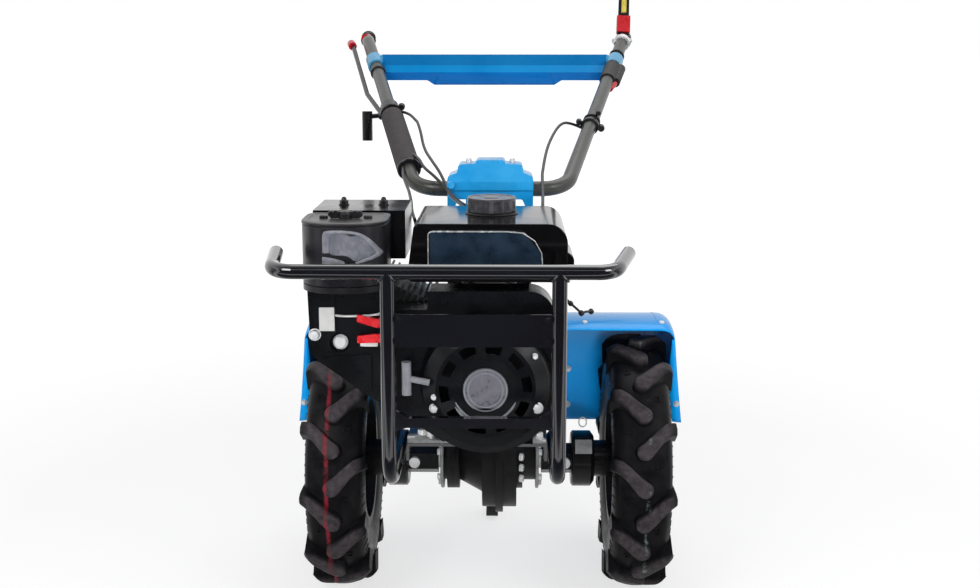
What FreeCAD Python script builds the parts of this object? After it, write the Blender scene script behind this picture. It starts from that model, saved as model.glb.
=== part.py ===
import FreeCAD, Part
import math
import os

# A two-wheel walking tiller: a petrol engine on a gear case, two lugged tyres on one through
# shaft, mudguards, a front guard, a rear hitch with its drag stake, and a handlebar that
# swivels and tilts. Millimetres, Z up, the front faces -Y. While modelling, Y is measured from
# the wheel shaft, and save() moves each piece so that the origin is under the middle of the
# machine's footprint. Left and right are the operator's: left is +X.

os.makedirs("parts", exist_ok=True)

Vector = FreeCAD.Vector
AXIS_X = Vector(1, 0, 0)
AXIS_Y = Vector(0, 1, 0)
AXIS_Z = Vector(0, 0, 1)

# ---- driving dimensions -------------------------------------------------------------------
WHEEL_RADIUS = 207.5        # over the lugs
WHEEL_X = 239.0             # wheel centre plane from the middle
TYRE_HALF_WIDTH = 51.0      # over the lugs
RIM_RADIUS = 103.0          # bead seat
LUGS_PER_SIDE = 11
LUG_HEIGHT = 17.5
LUG_PHASE = -6.5            # degrees, of the first lug from straight up
SHAFT_RADIUS = 17.0
RUNNING_GAP = 0.05          # radial, in the row's own bores
SKIN_GAP = 0.3              # between faces that slide on each other
MOVING_GAP = 5.0            # between pieces of different bodies
AXLE_Z = WHEEL_RADIUS

GEAR_FRONT_Y = -62.0        # gear case
GEAR_REAR_Y = 104.0
GEAR_HALF_WIDTH = 66.0
GEAR_TOP_Z = AXLE_Z + 382.5
GEAR_LOBE_RADIUS = 80.5
GEAR_LOBE_X = (-12.0, 44.0)
COVER_OUTER_X = 80.0        # end faces of the shaft's bearing covers
SEAM_PROUD = 9.0            # how far the case's seam flange stands out

ENGINE_BASE_Z = AXLE_Z + 117.5
CRANK_Z = ENGINE_BASE_Z + 106.0
CASE_X = (-82.0, 84.0)      # crankcase
CASE_FRONT_Y = -285.0
CASE_REAR_Y = -130.0
CASE_TOP_Z = CRANK_Z + 65.0
SHROUD_FRONT_Y = -345.0
RECOIL_FRONT_Y = -392.0
CYLINDER_TILT = math.radians(25)

GUARD_Y = -445.0            # plane of the guard's tubes
GUARD_TUBE_RADIUS = 10.0
GUARD_LEG_X = (-126.0, 97.0)
GUARD_BAR_X = (-276.0, 168.0)
GUARD_BAR_Z = ENGINE_BASE_Z + 277.0
GUARD_CROSS_Z = ENGINE_BASE_Z + 77.0

BAR_Y = 57.0                # the handlebar's cross tube, which is also the tilt axis
TURN_Z = GEAR_TOP_Z + 16.0  # top of the fixed half of the turntable
BAR_Z = TURN_Z + 45.0
BAR_RADIUS = 12.5
BAR_RISE = math.tan(math.radians(19.6))

MUDGUARD_RADIUS = WHEEL_RADIUS + 33.5   # inside of the sheet
MUDGUARD_INNER_X = GEAR_HALF_WIDTH + 6
MUDGUARD_OUTER_X = 317.0
SHEET = 2.0

BAR_CORNER_X = 124.0                    # where the cross tube turns back
GRIP_BEND = (266.0, 712.0)              # X and Y of the last bend
GRIP_REACH = 188.0                      # from that bend to the tip, in Y
GRIP_RADIUS = 16.0
GRIP_LENGTH = 120.0

STAKE_Y = 300.0


def on_bar(x, y):
    """A point on the sloping plane that the handlebar's tubes lie in."""
    return (x, y, BAR_Z + (y - BAR_Y) * BAR_RISE)


grip_bend = Vector(*on_bar(*GRIP_BEND))
grip_end = grip_bend + Vector(19, GRIP_REACH, 6)
grip_heading = (grip_end - grip_bend).normalize()
rearmost = grip_end.y + GRIP_RADIUS * math.sqrt(1 - grip_heading.y ** 2)
STORE_Y = -(GUARD_Y - GUARD_TUBE_RADIUS + rearmost) / 2


# ---- helpers ------------------------------------------------------------------------------
TYRE_FACETS = 3 * LUGS_PER_SIDE
CABLE_RADIUS = 2.6
CABLE_RUN = 58.0


def save(name, shape):
    """Moves a finished piece into the stored frame and writes it."""
    moved = shape.copy()
    moved.translate(Vector(0, STORE_Y, 0))
    moved.exportStep("parts/" + name + ".step")


def joined(shapes):
    """One solid out of pieces that overlap or share faces."""
    shapes = list(shapes)
    result = shapes[0]
    if len(shapes) > 1:
        result = shapes[0].multiFuse(shapes[1:])
    return result.removeSplitter()


def box(x, y, z):
    """A block between three pairs of coordinates."""
    return Part.makeBox(x[1] - x[0], y[1] - y[0], z[1] - z[0], Vector(x[0], y[0], z[0]))


def rod(start, end, radius):
    """A round bar between two points."""
    start = Vector(*start)
    end = Vector(*end)
    return Part.makeCylinder(radius, (end - start).Length, start, end - start)


def corner_wire(points, radii, closed):
    """Straight runs joined by tangent arcs: one radius for each point, 0 for a sharp corner."""
    points = [Vector(*p) for p in points]
    if isinstance(radii, (int, float)):
        radii = [radii] * len(points)
    count = len(points)
    starts = []
    ends = []
    arcs = []
    for i, point in enumerate(points):
        inside = closed or 0 < i < count - 1
        if not inside or radii[i] <= 0:
            starts.append(point)
            ends.append(point)
            arcs.append(None)
            continue
        before = (points[i - 1] - point).normalize()
        after = (points[(i + 1) % count] - point).normalize()
        half_turn = (math.pi - before.getAngle(after)) / 2
        setback = radii[i] * math.tan(half_turn)
        centre = point + (before + after).normalize() * (radii[i] / math.cos(half_turn))
        middle = centre + (point - centre).normalize() * radii[i]
        starts.append(point + before * setback)
        ends.append(point + after * setback)
        arcs.append(middle)
    edges = []
    for i in range(count):
        if arcs[i] is not None:
            edges.append(Part.Arc(starts[i], arcs[i], ends[i]).toShape())
        following = (i + 1) % count
        if following == 0 and not closed:
            continue
        if (starts[following] - ends[i]).Length > 1e-6:
            edges.append(Part.LineSegment(ends[i], starts[following]).toShape())
    return Part.Wire(edges)


def plate_xz(outline, y, radii=0):
    """An outline in X and Z, as thick as the span in Y."""
    wire = corner_wire([(px, y[0], pz) for px, pz in outline], radii, True)
    return Part.Face(wire).extrude(Vector(0, y[1] - y[0], 0))


def plate_yz(outline, x, radii=0):
    """An outline in Y and Z, as thick as the span in X."""
    wire = corner_wire([(x[0], py, pz) for py, pz in outline], radii, True)
    return Part.Face(wire).extrude(Vector(x[1] - x[0], 0, 0))


def plate_xy(outline, z, radii=0):
    """An outline in X and Y, as thick as the span in Z."""
    wire = corner_wire([(px, py, z[0]) for px, py in outline], radii, True)
    return Part.Face(wire).extrude(Vector(0, 0, z[1] - z[0]))


def tube(points, radius, bends):
    """A round bar swept along straight runs and tangent arcs."""
    path = corner_wire(points, bends, False)
    start = Vector(*points[0])
    heading = (Vector(*points[1]) - start).normalize()
    ring = Part.Wire(Part.makeCircle(radius, start, heading))
    return Part.makeSolid(path.makePipeShell([ring], True, True))


def faceted_ring(outline):
    """A closed outline (distance from the middle, radius) carried round the wheel shaft in flat
    facets, which keeps the lugged tyres light to draw."""
    turns = [2 * math.pi * i / TYRE_FACETS for i in range(TYRE_FACETS + 1)]
    rings = []
    for px, r in outline:
        rings.append([Vector(px, r * math.sin(t), AXLE_Z + r * math.cos(t)) for t in turns])
    faces = []
    for here, there in zip(rings, rings[1:] + rings[:1]):
        for i in range(TYRE_FACETS):
            corners = [here[i], here[i + 1], there[i + 1], there[i], here[i]]
            faces.append(Part.Face(Part.makePolygon(corners)))
    shell = Part.makeShell(faces)
    shell.sewShape()
    solid = Part.makeSolid(shell)
    if solid.Volume < 0:
        solid.reverse()
    return solid


def around_shaft(outline, x_sign=1, start=0.0, turn=360.0, radii=0):
    """Points (distance from the middle, radius) revolved about the wheel shaft, from the top
    towards the rear."""
    wire = corner_wire([(x_sign * px, 0, AXLE_Z + r) for px, r in outline], radii, True)
    face = Part.Face(wire)
    hub = Vector(0, 0, AXLE_Z)
    face.rotate(hub, Vector(-1, 0, 0), start)
    return face.revolve(hub, Vector(-1, 0, 0), turn)


def around_crank(outline, start=0.0, turn=360.0):
    """Points (Y, radius) revolved about the crankshaft."""
    wire = corner_wire([(0, py, CRANK_Z + r) for py, r in outline], 0, True)
    face = Part.Face(wire)
    face.rotate(Vector(0, 0, CRANK_Z), AXIS_Y, start)
    return face.revolve(Vector(0, 0, CRANK_Z), AXIS_Y, turn)


def cable(name, guides):
    """A sheathed cable along a smooth curve through its guides: short straight runs joined by
    tangent arcs. It prints its length, its tightest bend and its volume against its length."""
    curve = Part.BSplineCurve()
    curve.interpolate([Vector(*p) for p in guides])
    runs = math.ceil(curve.length() / CABLE_RUN)
    spots = [curve.value(curve.parameterAtDistance(curve.length() * i / runs)) for i in range(runs + 1)]
    bends = [0.0]
    for before, here, after in zip(spots, spots[1:], spots[2:]):
        half_turn = (here - before).getAngle(after - here) / 2
        shorter = min((here - before).Length, (after - here).Length)
        bends.append(0.45 * shorter / math.tan(half_turn))
    bends.append(0.0)
    path = corner_wire(spots, bends, False)
    ring = Part.Wire(Part.makeCircle(CABLE_RADIUS, spots[0], spots[1] - spots[0]))
    solid = Part.makeSolid(path.makePipeShell([ring], True, True))
    share = solid.Volume / (math.pi * CABLE_RADIUS ** 2 * path.Length)
    print(f"{name}: {path.Length:.0f} mm long, tightest bend {min(bends[1:-1]):.0f} mm, volume {share:.3f}")
    return solid


def hexagon_bar(x, across_flats):
    """A six-sided bar along the wheel shaft."""
    corner = across_flats / math.sqrt(3)
    turns = [math.radians(60 * i + 30) for i in range(6)]
    ring = [(corner * math.cos(t), AXLE_Z + corner * math.sin(t)) for t in turns]
    return plate_yz(ring, x)


def mirrored(shape):
    """The same piece on the other side of the machine."""
    return shape.mirror(Vector(0, 0, 0), AXIS_X)


# ---- wheels, hubs and the through shaft -----------------------------------------------------
CARCASS_RADIUS = WHEEL_RADIUS - LUG_HEIGHT
HEX_SLEEVE = 45.0           # hub sleeve, across flats
SHAFT_END_X = WHEEL_X + 8
SLEEVE_X = (COVER_OUTER_X + MOVING_GAP, 134.0)
DRUM_X = (SLEEVE_X[1], 172.0)
DISC_X = WHEEL_X - 5.0      # inboard face of the rim's disc
WHEEL_BOLTS = 5
BOLT_CIRCLE = 50.0


def both_flanks(half):
    """A profile given on one flank, carried on over the other."""
    return half + [(-dx, r) for dx, r in reversed(half)]


def at_wheel(profile):
    """A profile about a wheel's own middle plane, carried out to where the wheel stands."""
    return [(WHEEL_X + dx, r) for dx, r in profile]


def tyre():
    """A carcass on its beads with two staggered rows of slanting lugs."""
    bead = RIM_RADIUS / math.cos(math.pi / TYRE_FACETS)
    wall = [(-36, bead), (-36, RIM_RADIUS + 12), (-46, RIM_RADIUS + 36), (-43, CARCASS_RADIUS - 14),
            (-28, CARCASS_RADIUS)]
    hollow = [(-27, bead), (-35, CARCASS_RADIUS - 16)]
    carcass = faceted_ring(at_wheel(both_flanks(wall) + both_flanks(hollow)[::-1]))
    half = TYRE_HALF_WIDTH
    crown = [(-half, CARCASS_RADIUS - 40), (-half, WHEEL_RADIUS - 12), (-half + 13, WHEEL_RADIUS)]
    envelope = faceted_ring(at_wheel(both_flanks(crown)))
    lug_low = AXLE_Z + CARCASS_RADIUS - 34
    pieces = [carcass]
    for row in range(2):
        side = 1 - 2 * row
        foot = [(56, 12), (36, 9), (-5, -20), (-13, -38), (-3, -49), (12, -46), (36, -12), (56, -9)]
        outline = [(WHEEL_X + side * dx, dy) for dx, dy in foot]
        block = plate_xy(outline, (lug_low, lug_low + 60)).common(envelope)
        for i in range(LUGS_PER_SIDE):
            lug = block.copy()
            lug.rotate(Vector(0, 0, AXLE_Z), AXIS_X, LUG_PHASE + (i + row / 2) * 360 / LUGS_PER_SIDE)
            pieces.append(lug)
    return joined(pieces)


def rim():
    """A pressed steel rim with its dished disc."""
    seat = RIM_RADIUS
    band = [(-40, seat - 4), (40, seat - 4), (40, seat + 11), (37, seat + 11), (37, seat), (-37, seat),
            (-37, seat + 11), (-40, seat + 11)]
    ring = around_shaft(at_wheel(band))
    disc = around_shaft([(DISC_X, 24), (DISC_X + 4, 24), (DISC_X + 4, seat - 26), (DISC_X + 14, seat - 3),
                         (DISC_X + 9, seat - 3), (DISC_X, seat - 24)])
    holes = []
    for i in range(WHEEL_BOLTS):
        turn = 2 * math.pi * i / WHEEL_BOLTS
        spot = (DISC_X - 20, BOLT_CIRCLE * math.sin(turn), AXLE_Z + BOLT_CIRCLE * math.cos(turn))
        holes.append(rod(spot, (spot[0] + 40, spot[1], spot[2]), 5.5))
    return joined([ring, disc]).cut(Part.makeCompound(holes))


def hub():
    """A six-sided sleeve pinned on the shaft, a drum and the flange that carries the rim."""
    sleeve = hexagon_bar(SLEEVE_X, HEX_SLEEVE)
    turned = around_shaft([(DRUM_X[0], 12), (DISC_X, 12), (DISC_X, 62), (DISC_X - 8, 62),
                           (DISC_X - 8, 30), (DRUM_X[1], 30), (DRUM_X[1], 38), (DRUM_X[1] - 6, 46),
                           (DRUM_X[0] + 3, 46), (DRUM_X[0], 42)])
    solid = joined([sleeve, turned])
    bore = rod((SLEEVE_X[0] - 1, 0, AXLE_Z), (DISC_X + 1, 0, AXLE_Z), SHAFT_RADIUS)
    pin_hole = rod((PIN_X, -60, AXLE_Z), (PIN_X, 60, AXLE_Z), PIN_RADIUS)
    return solid.cut(bore).cut(pin_hole)


PIN_X = 124.0
PIN_RADIUS = 5.0


def hub_pin():
    """The cross bolt that holds a wheel on the shaft, with its head and its ring."""
    flat = HEX_SLEEVE / 2
    shank = rod((PIN_X, -flat - 8, AXLE_Z), (PIN_X, flat + 12, AXLE_Z), PIN_RADIUS)
    head = rod((PIN_X, -flat - 8, AXLE_Z), (PIN_X, -flat, AXLE_Z), 9)
    return joined([shank, head])


shaft = rod((-SHAFT_END_X, 0, AXLE_Z), (SHAFT_END_X, 0, AXLE_Z), SHAFT_RADIUS)
pin_bore = rod((PIN_X, -60, AXLE_Z), (PIN_X, 60, AXLE_Z), PIN_RADIUS)
shaft = shaft.cut(pin_bore).cut(mirrored(pin_bore))
save("wheel_shaft", shaft)
left_tyre = tyre()
left_rim = rim()
left_hub = hub()
left_pin = hub_pin()
for piece, name in ((left_tyre, "tyre"), (left_rim, "rim"), (left_hub, "hub"), (left_pin, "hub_pin")):
    save(name + "_left", piece)
    save(name + "_right", mirrored(piece))


# ---- gear case ------------------------------------------------------------------------------
FLANGE_X = -60.0            # outer face of the case's right-hand end flange
BEARING_RADIUS = 36.0
CLUTCH_RADIUS = 98.0
lobe_low = AXLE_Z - GEAR_LOBE_RADIUS
waist_z = ENGINE_BASE_Z - 5
shoulder_z = GEAR_TOP_Z - 30
front_view = [(GEAR_LOBE_X[0], lobe_low - 5), (GEAR_LOBE_X[1], lobe_low - 5), (GEAR_LOBE_X[1], AXLE_Z + 54),
              (GEAR_HALF_WIDTH, waist_z), (GEAR_HALF_WIDTH, shoulder_z), (48, GEAR_TOP_Z),
              (-48, GEAR_TOP_Z), (-GEAR_HALF_WIDTH, shoulder_z), (-GEAR_HALF_WIDTH, waist_z),
              (GEAR_LOBE_X[0], AXLE_Z + 28)]


def gear_side(grow):
    """The case's outline from the side, grown outwards by a margin."""
    lobe = rod((-80, 0, AXLE_Z), (80, 0, AXLE_Z), GEAR_LOBE_RADIUS + grow)
    front = GEAR_FRONT_Y - grow
    rear = GEAR_REAR_Y + grow
    top = GEAR_TOP_Z + min(grow, 0)
    upper = plate_yz([(-GEAR_LOBE_RADIUS - grow, AXLE_Z), (GEAR_LOBE_RADIUS + grow, AXLE_Z),
                      (rear, AXLE_Z + 92), (rear, top), (front, top), (front, AXLE_Z + 92)], (-80, 80),
                     [0, 0, 60, 14, 14, 50])
    return joined([lobe, upper])


body = plate_xz(front_view, (-160, 160), [16, 16, 8, 8, 8, 8, 8, 8, 8, 8]).common(gear_side(0))
seam = box((10, 22), (-200, 200), (0, GEAR_TOP_Z)).common(gear_side(SEAM_PROUD))
shaft_tube = around_shaft([(FLANGE_X, 12), (GEAR_LOBE_X[0] + 1, 12), (GEAR_LOBE_X[0] + 1, 57),
                           (FLANGE_X + 10, BEARING_RADIUS), (FLANGE_X + 10, 50), (FLANGE_X, 50)])
ribs = [box((FLANGE_X + 4, -10), (-3, 3), (AXLE_Z + 10, waist_z + 10))]
for drop in (60, 105, 210):
    rib_z = GEAR_TOP_Z - drop
    ribs.append(box((-GEAR_HALF_WIDTH - 5, -GEAR_HALF_WIDTH + 1), (GEAR_FRONT_Y + 20, GEAR_REAR_Y - 20),
                    (rib_z, rib_z + 5)))
case = joined([body, seam, shaft_tube] + ribs)
case = case.cut(rod((-90, 0, AXLE_Z), (90, 0, AXLE_Z), SHAFT_RADIUS + 7))
save("gear_case", case)


def bearing_cover(inner_x, outer_x):
    """A flanged end cover whose bore carries the wheel shaft."""
    sign = 1 if outer_x > inner_x else -1
    flange = rod((inner_x, 0, AXLE_Z), (inner_x + sign * 10, 0, AXLE_Z), 50)
    boss = rod((inner_x, 0, AXLE_Z), (outer_x, 0, AXLE_Z), BEARING_RADIUS)
    solid = joined([flange, boss])
    return solid.cut(rod((-100, 0, AXLE_Z), (100, 0, AXLE_Z), SHAFT_RADIUS + RUNNING_GAP))


save("bearing_cover_left", bearing_cover(GEAR_LOBE_X[1], COVER_OUTER_X))
save("bearing_cover_right", bearing_cover(FLANGE_X, -COVER_OUTER_X))
bell = around_crank([(CASE_REAR_Y, 0.01), (CASE_REAR_Y, CLUTCH_RADIUS - 14),
                     (CASE_REAR_Y + 14, CLUTCH_RADIUS),
                     (GEAR_FRONT_Y - 22, CLUTCH_RADIUS), (GEAR_FRONT_Y, CLUTCH_RADIUS - 14),
                     (GEAR_FRONT_Y, 0.01)])
BELL_WALL = 12.0
bell_room = rod((0, CASE_REAR_Y + BELL_WALL, CRANK_Z), (0, GEAR_FRONT_Y - BELL_WALL, CRANK_Z),
                CLUTCH_RADIUS - BELL_WALL)
clutch_housing = bell.cut(bell_room).cut(case)
save("clutch_housing", clutch_housing)


# ---- turntable on the gear case --------------------------------------------------------------
POST_RADIUS = 14.0
TURN_RADIUS = 46.0
INDEX_HOLES = 8
turn_base = rod((0, BAR_Y, GEAR_TOP_Z), (0, BAR_Y, TURN_Z), TURN_RADIUS)
turn_base = turn_base.cut(rod((0, BAR_Y, GEAR_TOP_Z - 1), (0, BAR_Y, TURN_Z + 1), POST_RADIUS + RUNNING_GAP))
index_holes = []
for i in range(INDEX_HOLES):
    turn = 2 * math.pi * i / INDEX_HOLES
    spot = (36 * math.cos(turn), BAR_Y + 36 * math.sin(turn))
    index_holes.append(rod((spot[0], spot[1], TURN_Z - 8), (spot[0], spot[1], TURN_Z + 1), 4))
save("turntable_base", turn_base.cut(Part.makeCompound(index_holes)))


# ---- gear lever on the rear of the case -------------------------------------------------------
LEVER_X = 30.0
tower_rear = GEAR_REAR_Y + SEAM_PROUD
gate_z = (GEAR_TOP_Z - 90, GEAR_TOP_Z - 30)
gate = joined([box((LEVER_X - 22, LEVER_X + 22), (tower_rear, tower_rear + 30), gate_z),
               box((LEVER_X - 8, LEVER_X + 22), (GEAR_REAR_Y, tower_rear), (gate_z[0] + 5, gate_z[1] - 5))])
save("shift_tower", gate.cut(case))
lever_foot = Vector(LEVER_X, tower_rear + 15, gate_z[1])
lever = tube([lever_foot, lever_foot + Vector(0, 0, 30), lever_foot + Vector(0, 70, 80)], 5, 20)
save("shift_lever", lever)
lever_top = lever_foot + Vector(0, 64, 74)
knob = rod(lever_top, lever_top + Vector(0, 22, 18), 13)
save("shift_knob", knob.cut(lever))


# ---- rear hitch and drag stake -----------------------------------------------------------------
HITCH_Z = (AXLE_Z + 4.5, AXLE_Z + 78.5)
HITCH_HALF_X = 32.0
STAKE_HALF_X = 11.0
STAKE_HALF_Y = 15.0
STAKE_SLIDE = 0.5           # room round the stake in its socket
HITCH_PIN_RADIUS = 6.0
HITCH_PIN_Z = (HITCH_Z[0] + 20, HITCH_Z[1] - 20)
DRAWBAR_Y = 258.0
DRAWBAR_RADIUS = 8.25       # for a 16 mm pin
socket_y = (STAKE_Y - 24, STAKE_Y + 24)
hitch_front = GEAR_REAR_Y - 16
cheeks = [box((side * 27 - 5, side * 27 + 5), (hitch_front, socket_y[1]), HITCH_Z) for side in (-1, 1)]
bridge = box((-HITCH_HALF_X, HITCH_HALF_X), (hitch_front, GEAR_REAR_Y + 40), (HITCH_Z[0] + 8, HITCH_Z[1] - 8))
socket = box((-HITCH_HALF_X, HITCH_HALF_X), socket_y, HITCH_Z)
hitch = joined(cheeks + [bridge, socket]).cut(gear_side(SEAM_PROUD))
room_x = STAKE_HALF_X + STAKE_SLIDE
room_y = STAKE_HALF_Y + STAKE_SLIDE
hitch = hitch.cut(box((-room_x, room_x), (STAKE_Y - room_y, STAKE_Y + room_y), (0, HITCH_Z[1] + 50)))
drawbar_z = sum(HITCH_Z) / 2
hitch = hitch.cut(rod((-50, DRAWBAR_Y, drawbar_z), (50, DRAWBAR_Y, drawbar_z), DRAWBAR_RADIUS))
stake = box((-STAKE_HALF_X, STAKE_HALF_X), (STAKE_Y - STAKE_HALF_Y, STAKE_Y + STAKE_HALF_Y),
            (20, HITCH_Z[1] + 144))
foot = plate_yz([(STAKE_Y - 22, 0), (STAKE_Y + 22, 0), (STAKE_Y + 22, 8), (STAKE_Y + 15, 24),
                 (STAKE_Y - 15, 24), (STAKE_Y - 40, 16), (STAKE_Y - 40, 8)], (-STAKE_HALF_X, STAKE_HALF_X))
stake = joined([stake, foot])
for i in range(5):
    spare_z = HITCH_PIN_Z[1] + 26 * (i + 1)
    stake = stake.cut(rod((-44, STAKE_Y, spare_z), (44, STAKE_Y, spare_z), HITCH_PIN_RADIUS))
pins = []
for z in HITCH_PIN_Z:
    pin = rod((-44, STAKE_Y, z), (44, STAKE_Y, z), HITCH_PIN_RADIUS)
    hitch = hitch.cut(pin)
    stake = stake.cut(pin)
    pins.append(joined([pin, rod((38, STAKE_Y, z), (44, STAKE_Y, z), 10)]))
save("hitch_bracket", hitch)
save("drag_stake", stake)
save("hitch_pins", Part.makeCompound(pins))


# ---- mudguards -------------------------------------------------------------------------------
MUDGUARD_START = -4.0       # degrees from straight up, towards the rear
MUDGUARD_TURN = 95.0
edge = MUDGUARD_OUTER_X
over = MUDGUARD_RADIUS + SHEET
sheet = [(MUDGUARD_INNER_X, MUDGUARD_RADIUS), (edge - SHEET, MUDGUARD_RADIUS), (edge - SHEET, 60),
         (edge, 60), (edge, over), (MUDGUARD_INNER_X, over)]
mudguard = around_shaft(sheet, 1, MUDGUARD_START, MUDGUARD_TURN, [0, 10, 0, 0, 12, 0])
below_skirt = plate_yz([(-60, AXLE_Z + 70), (over + 20, AXLE_Z + 29), (over + 20, 0), (-60, 0)],
                       (edge - 12, edge + 10))
turned_in = plate_yz([(-60, AXLE_Z + 70), (over + 20, AXLE_Z + 29), (over + 20, AXLE_Z + 31),
                      (-60, AXLE_Z + 72)], (edge - 12, edge)).common(
                          around_shaft([(edge - 12, 60), (edge, 60), (edge, over), (edge - 12, over)],
                                       1, MUDGUARD_START, MUDGUARD_TURN))
flange_low = MUDGUARD_RADIUS - 16
inner_flange = around_shaft([(MUDGUARD_INNER_X, flange_low), (MUDGUARD_INNER_X + SHEET, flange_low),
                             (MUDGUARD_INNER_X + SHEET, MUDGUARD_RADIUS + 1),
                             (MUDGUARD_INNER_X, MUDGUARD_RADIUS + 1)], 1, MUDGUARD_START, MUDGUARD_TURN)
mudguard = joined([mudguard.cut(below_skirt), turned_in, inner_flange])
save("mudguard_left", mudguard)
save("mudguard_right", mirrored(mudguard))
STAY_Y = (0.0, 70.0)
crest_z = AXLE_Z + MUDGUARD_RADIUS
stay_z = (crest_z - 44, crest_z + 20)
under_sheet = rod((0, 0, AXLE_Z), (400, 0, AXLE_Z), MUDGUARD_RADIUS)
shelf = box((GEAR_HALF_WIDTH, MUDGUARD_INNER_X + 50), STAY_Y, stay_z)
shelf = shelf.cut(plate_xz([(MUDGUARD_INNER_X + 6, stay_z[0] - 1), (MUDGUARD_INNER_X + 60, stay_z[0] - 1),
                            (MUDGUARD_INNER_X + 60, crest_z - 18)], (STAY_Y[0] - 5, STAY_Y[1] + 5)))
stay = shelf.common(under_sheet).cut(inner_flange)
save("mudguard_stay_left", stay)
save("mudguard_stay_right", mirrored(stay))


# ---- engine bed and front guard ---------------------------------------------------------------
BED_X = (GUARD_LEG_X[0] + GUARD_TUBE_RADIUS, GUARD_LEG_X[1] - GUARD_TUBE_RADIUS)
BED_Y = (CASE_FRONT_Y - 11, GEAR_FRONT_Y)
BED_DEPTH = 26.0
BED_SHEET = 4.5
LEG_ON_BED = 70.0           # how far the guard's feet run along the bed
bed_z = (ENGINE_BASE_Z - BED_DEPTH, ENGINE_BASE_Z)
bed = joined([box(BED_X, BED_Y, (ENGINE_BASE_Z - BED_SHEET, ENGINE_BASE_Z)),
              box((BED_X[0], BED_X[0] + BED_SHEET), BED_Y, bed_z),
              box((BED_X[1] - BED_SHEET, BED_X[1]), BED_Y, bed_z),
              box(BED_X, (BED_Y[1] - 8, BED_Y[1]), bed_z)])
save("engine_bed", bed.cut(case))

END_BACK = 90.0             # how far the bar's ends turn back
END_OUT = (8.0, 24.0)       # and outwards
END_UP = 10.0
top_bar = tube([(GUARD_BAR_X[0] - END_OUT[0], GUARD_Y + END_BACK, GUARD_BAR_Z + END_UP),
                (GUARD_BAR_X[0], GUARD_Y, GUARD_BAR_Z), (GUARD_BAR_X[1], GUARD_Y, GUARD_BAR_Z),
                (GUARD_BAR_X[1] + END_OUT[1], GUARD_Y + END_BACK, GUARD_BAR_Z + END_UP)],
               GUARD_TUBE_RADIUS, 30)
leg_low = ENGINE_BASE_Z - GUARD_TUBE_RADIUS
guard_parts = [top_bar]
for leg_x in GUARD_LEG_X:
    guard_parts.append(tube([(leg_x, GUARD_Y, GUARD_BAR_Z), (leg_x, GUARD_Y, leg_low),
                             (leg_x, BED_Y[0] + LEG_ON_BED, leg_low)], GUARD_TUBE_RADIUS, 40))
cross_z = (GUARD_CROSS_Z - 7, GUARD_CROSS_Z + 6)
guard_parts.append(box(GUARD_LEG_X, (GUARD_Y - 6, GUARD_Y + 6), cross_z))
for leg_x, inward in zip(GUARD_LEG_X, (1, -1)):
    near = leg_x + inward * GUARD_TUBE_RADIUS / 2
    guard_parts.append(plate_xz([(near, cross_z[0] - 6), (near + inward * 22, cross_z[0]),
                                 (near + inward * 22, cross_z[1]), (near, cross_z[1] + 12)],
                                (GUARD_Y - 3, GUARD_Y + 3)))
guard = joined(guard_parts)
save("front_guard", guard)
PLATE_Z = (GUARD_BAR_Z - 98, GUARD_BAR_Z - 55)
save("guard_plate", box(GUARD_LEG_X, (GUARD_Y - 5, GUARD_Y - 2), PLATE_Z).cut(guard))


# ---- engine block ----------------------------------------------------------------------------
case_y = (CASE_FRONT_Y, CASE_REAR_Y)
middle_y = sum(case_y) / 2
block = plate_xz([(CASE_X[0], ENGINE_BASE_Z), (CASE_X[1], ENGINE_BASE_Z), (CASE_X[1], CASE_TOP_Z),
                  (CASE_X[0], CASE_TOP_Z)], case_y, [3, 3, 22, 22])
CASE_WALL = 10.0
cavity = box((CASE_X[0] + CASE_WALL, CASE_X[1] - CASE_WALL),
             (CASE_FRONT_Y + CASE_WALL, CASE_REAR_Y - CASE_WALL),
             (ENGINE_BASE_Z + CASE_WALL, CASE_TOP_Z - CASE_WALL))
oil_cap = rod((CASE_X[1], middle_y - 32, ENGINE_BASE_Z + 32),
              (CASE_X[1] + 20, middle_y - 32, ENGINE_BASE_Z + 44), 13)
save("oil_cap", oil_cap.cut(block))
save("crankcase", block.cut(cavity))


def along_cylinder(shape):
    """Stands a piece made upright over the crank on the cylinder's leaning axis."""
    placed = shape.copy()
    placed.rotate(Vector(0, 0, CRANK_Z), AXIS_Y, -90 + math.degrees(CYLINDER_TILT))
    return placed


FINS = 9
FIN_PITCH = 9.0
FIN_THICK = 3.5
FIN_START = 112.0           # from the crank, along the cylinder
HEAD_START = 196.0
HEAD_END = 232.0
barrel = [box((-52, 52), (CASE_FRONT_Y + 22, CASE_REAR_Y - 22), (CRANK_Z + 60, CRANK_Z + HEAD_START))]
for i in range(FINS):
    fin_z = CRANK_Z + FIN_START + i * FIN_PITCH
    fin = plate_xy([(-64, CASE_FRONT_Y + 8), (64, CASE_FRONT_Y + 8), (64, CASE_REAR_Y - 8),
                    (-64, CASE_REAR_Y - 8)], (fin_z, fin_z + FIN_THICK), 14)
    barrel.append(fin)
bore = rod((0, middle_y, CRANK_Z + 50), (0, middle_y, CRANK_Z + HEAD_START - 8), 36)
cylinder = along_cylinder(joined(barrel).cut(bore)).cut(block)
save("cylinder", cylinder)
head = [box((-60, 60), (CASE_FRONT_Y + 10, CASE_REAR_Y - 10),
            (CRANK_Z + HEAD_START, CRANK_Z + HEAD_END - 10)),
        box((-48, 48), (CASE_FRONT_Y + 26, CASE_REAR_Y - 26),
            (CRANK_Z + HEAD_END - 10, CRANK_Z + HEAD_END)),
        rod((-60, CASE_FRONT_Y + 40, CRANK_Z + 209), (-86, CASE_FRONT_Y + 26, CRANK_Z + 213), 11)]
head_piece = along_cylinder(joined(head))
save("cylinder_head", head_piece)


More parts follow.
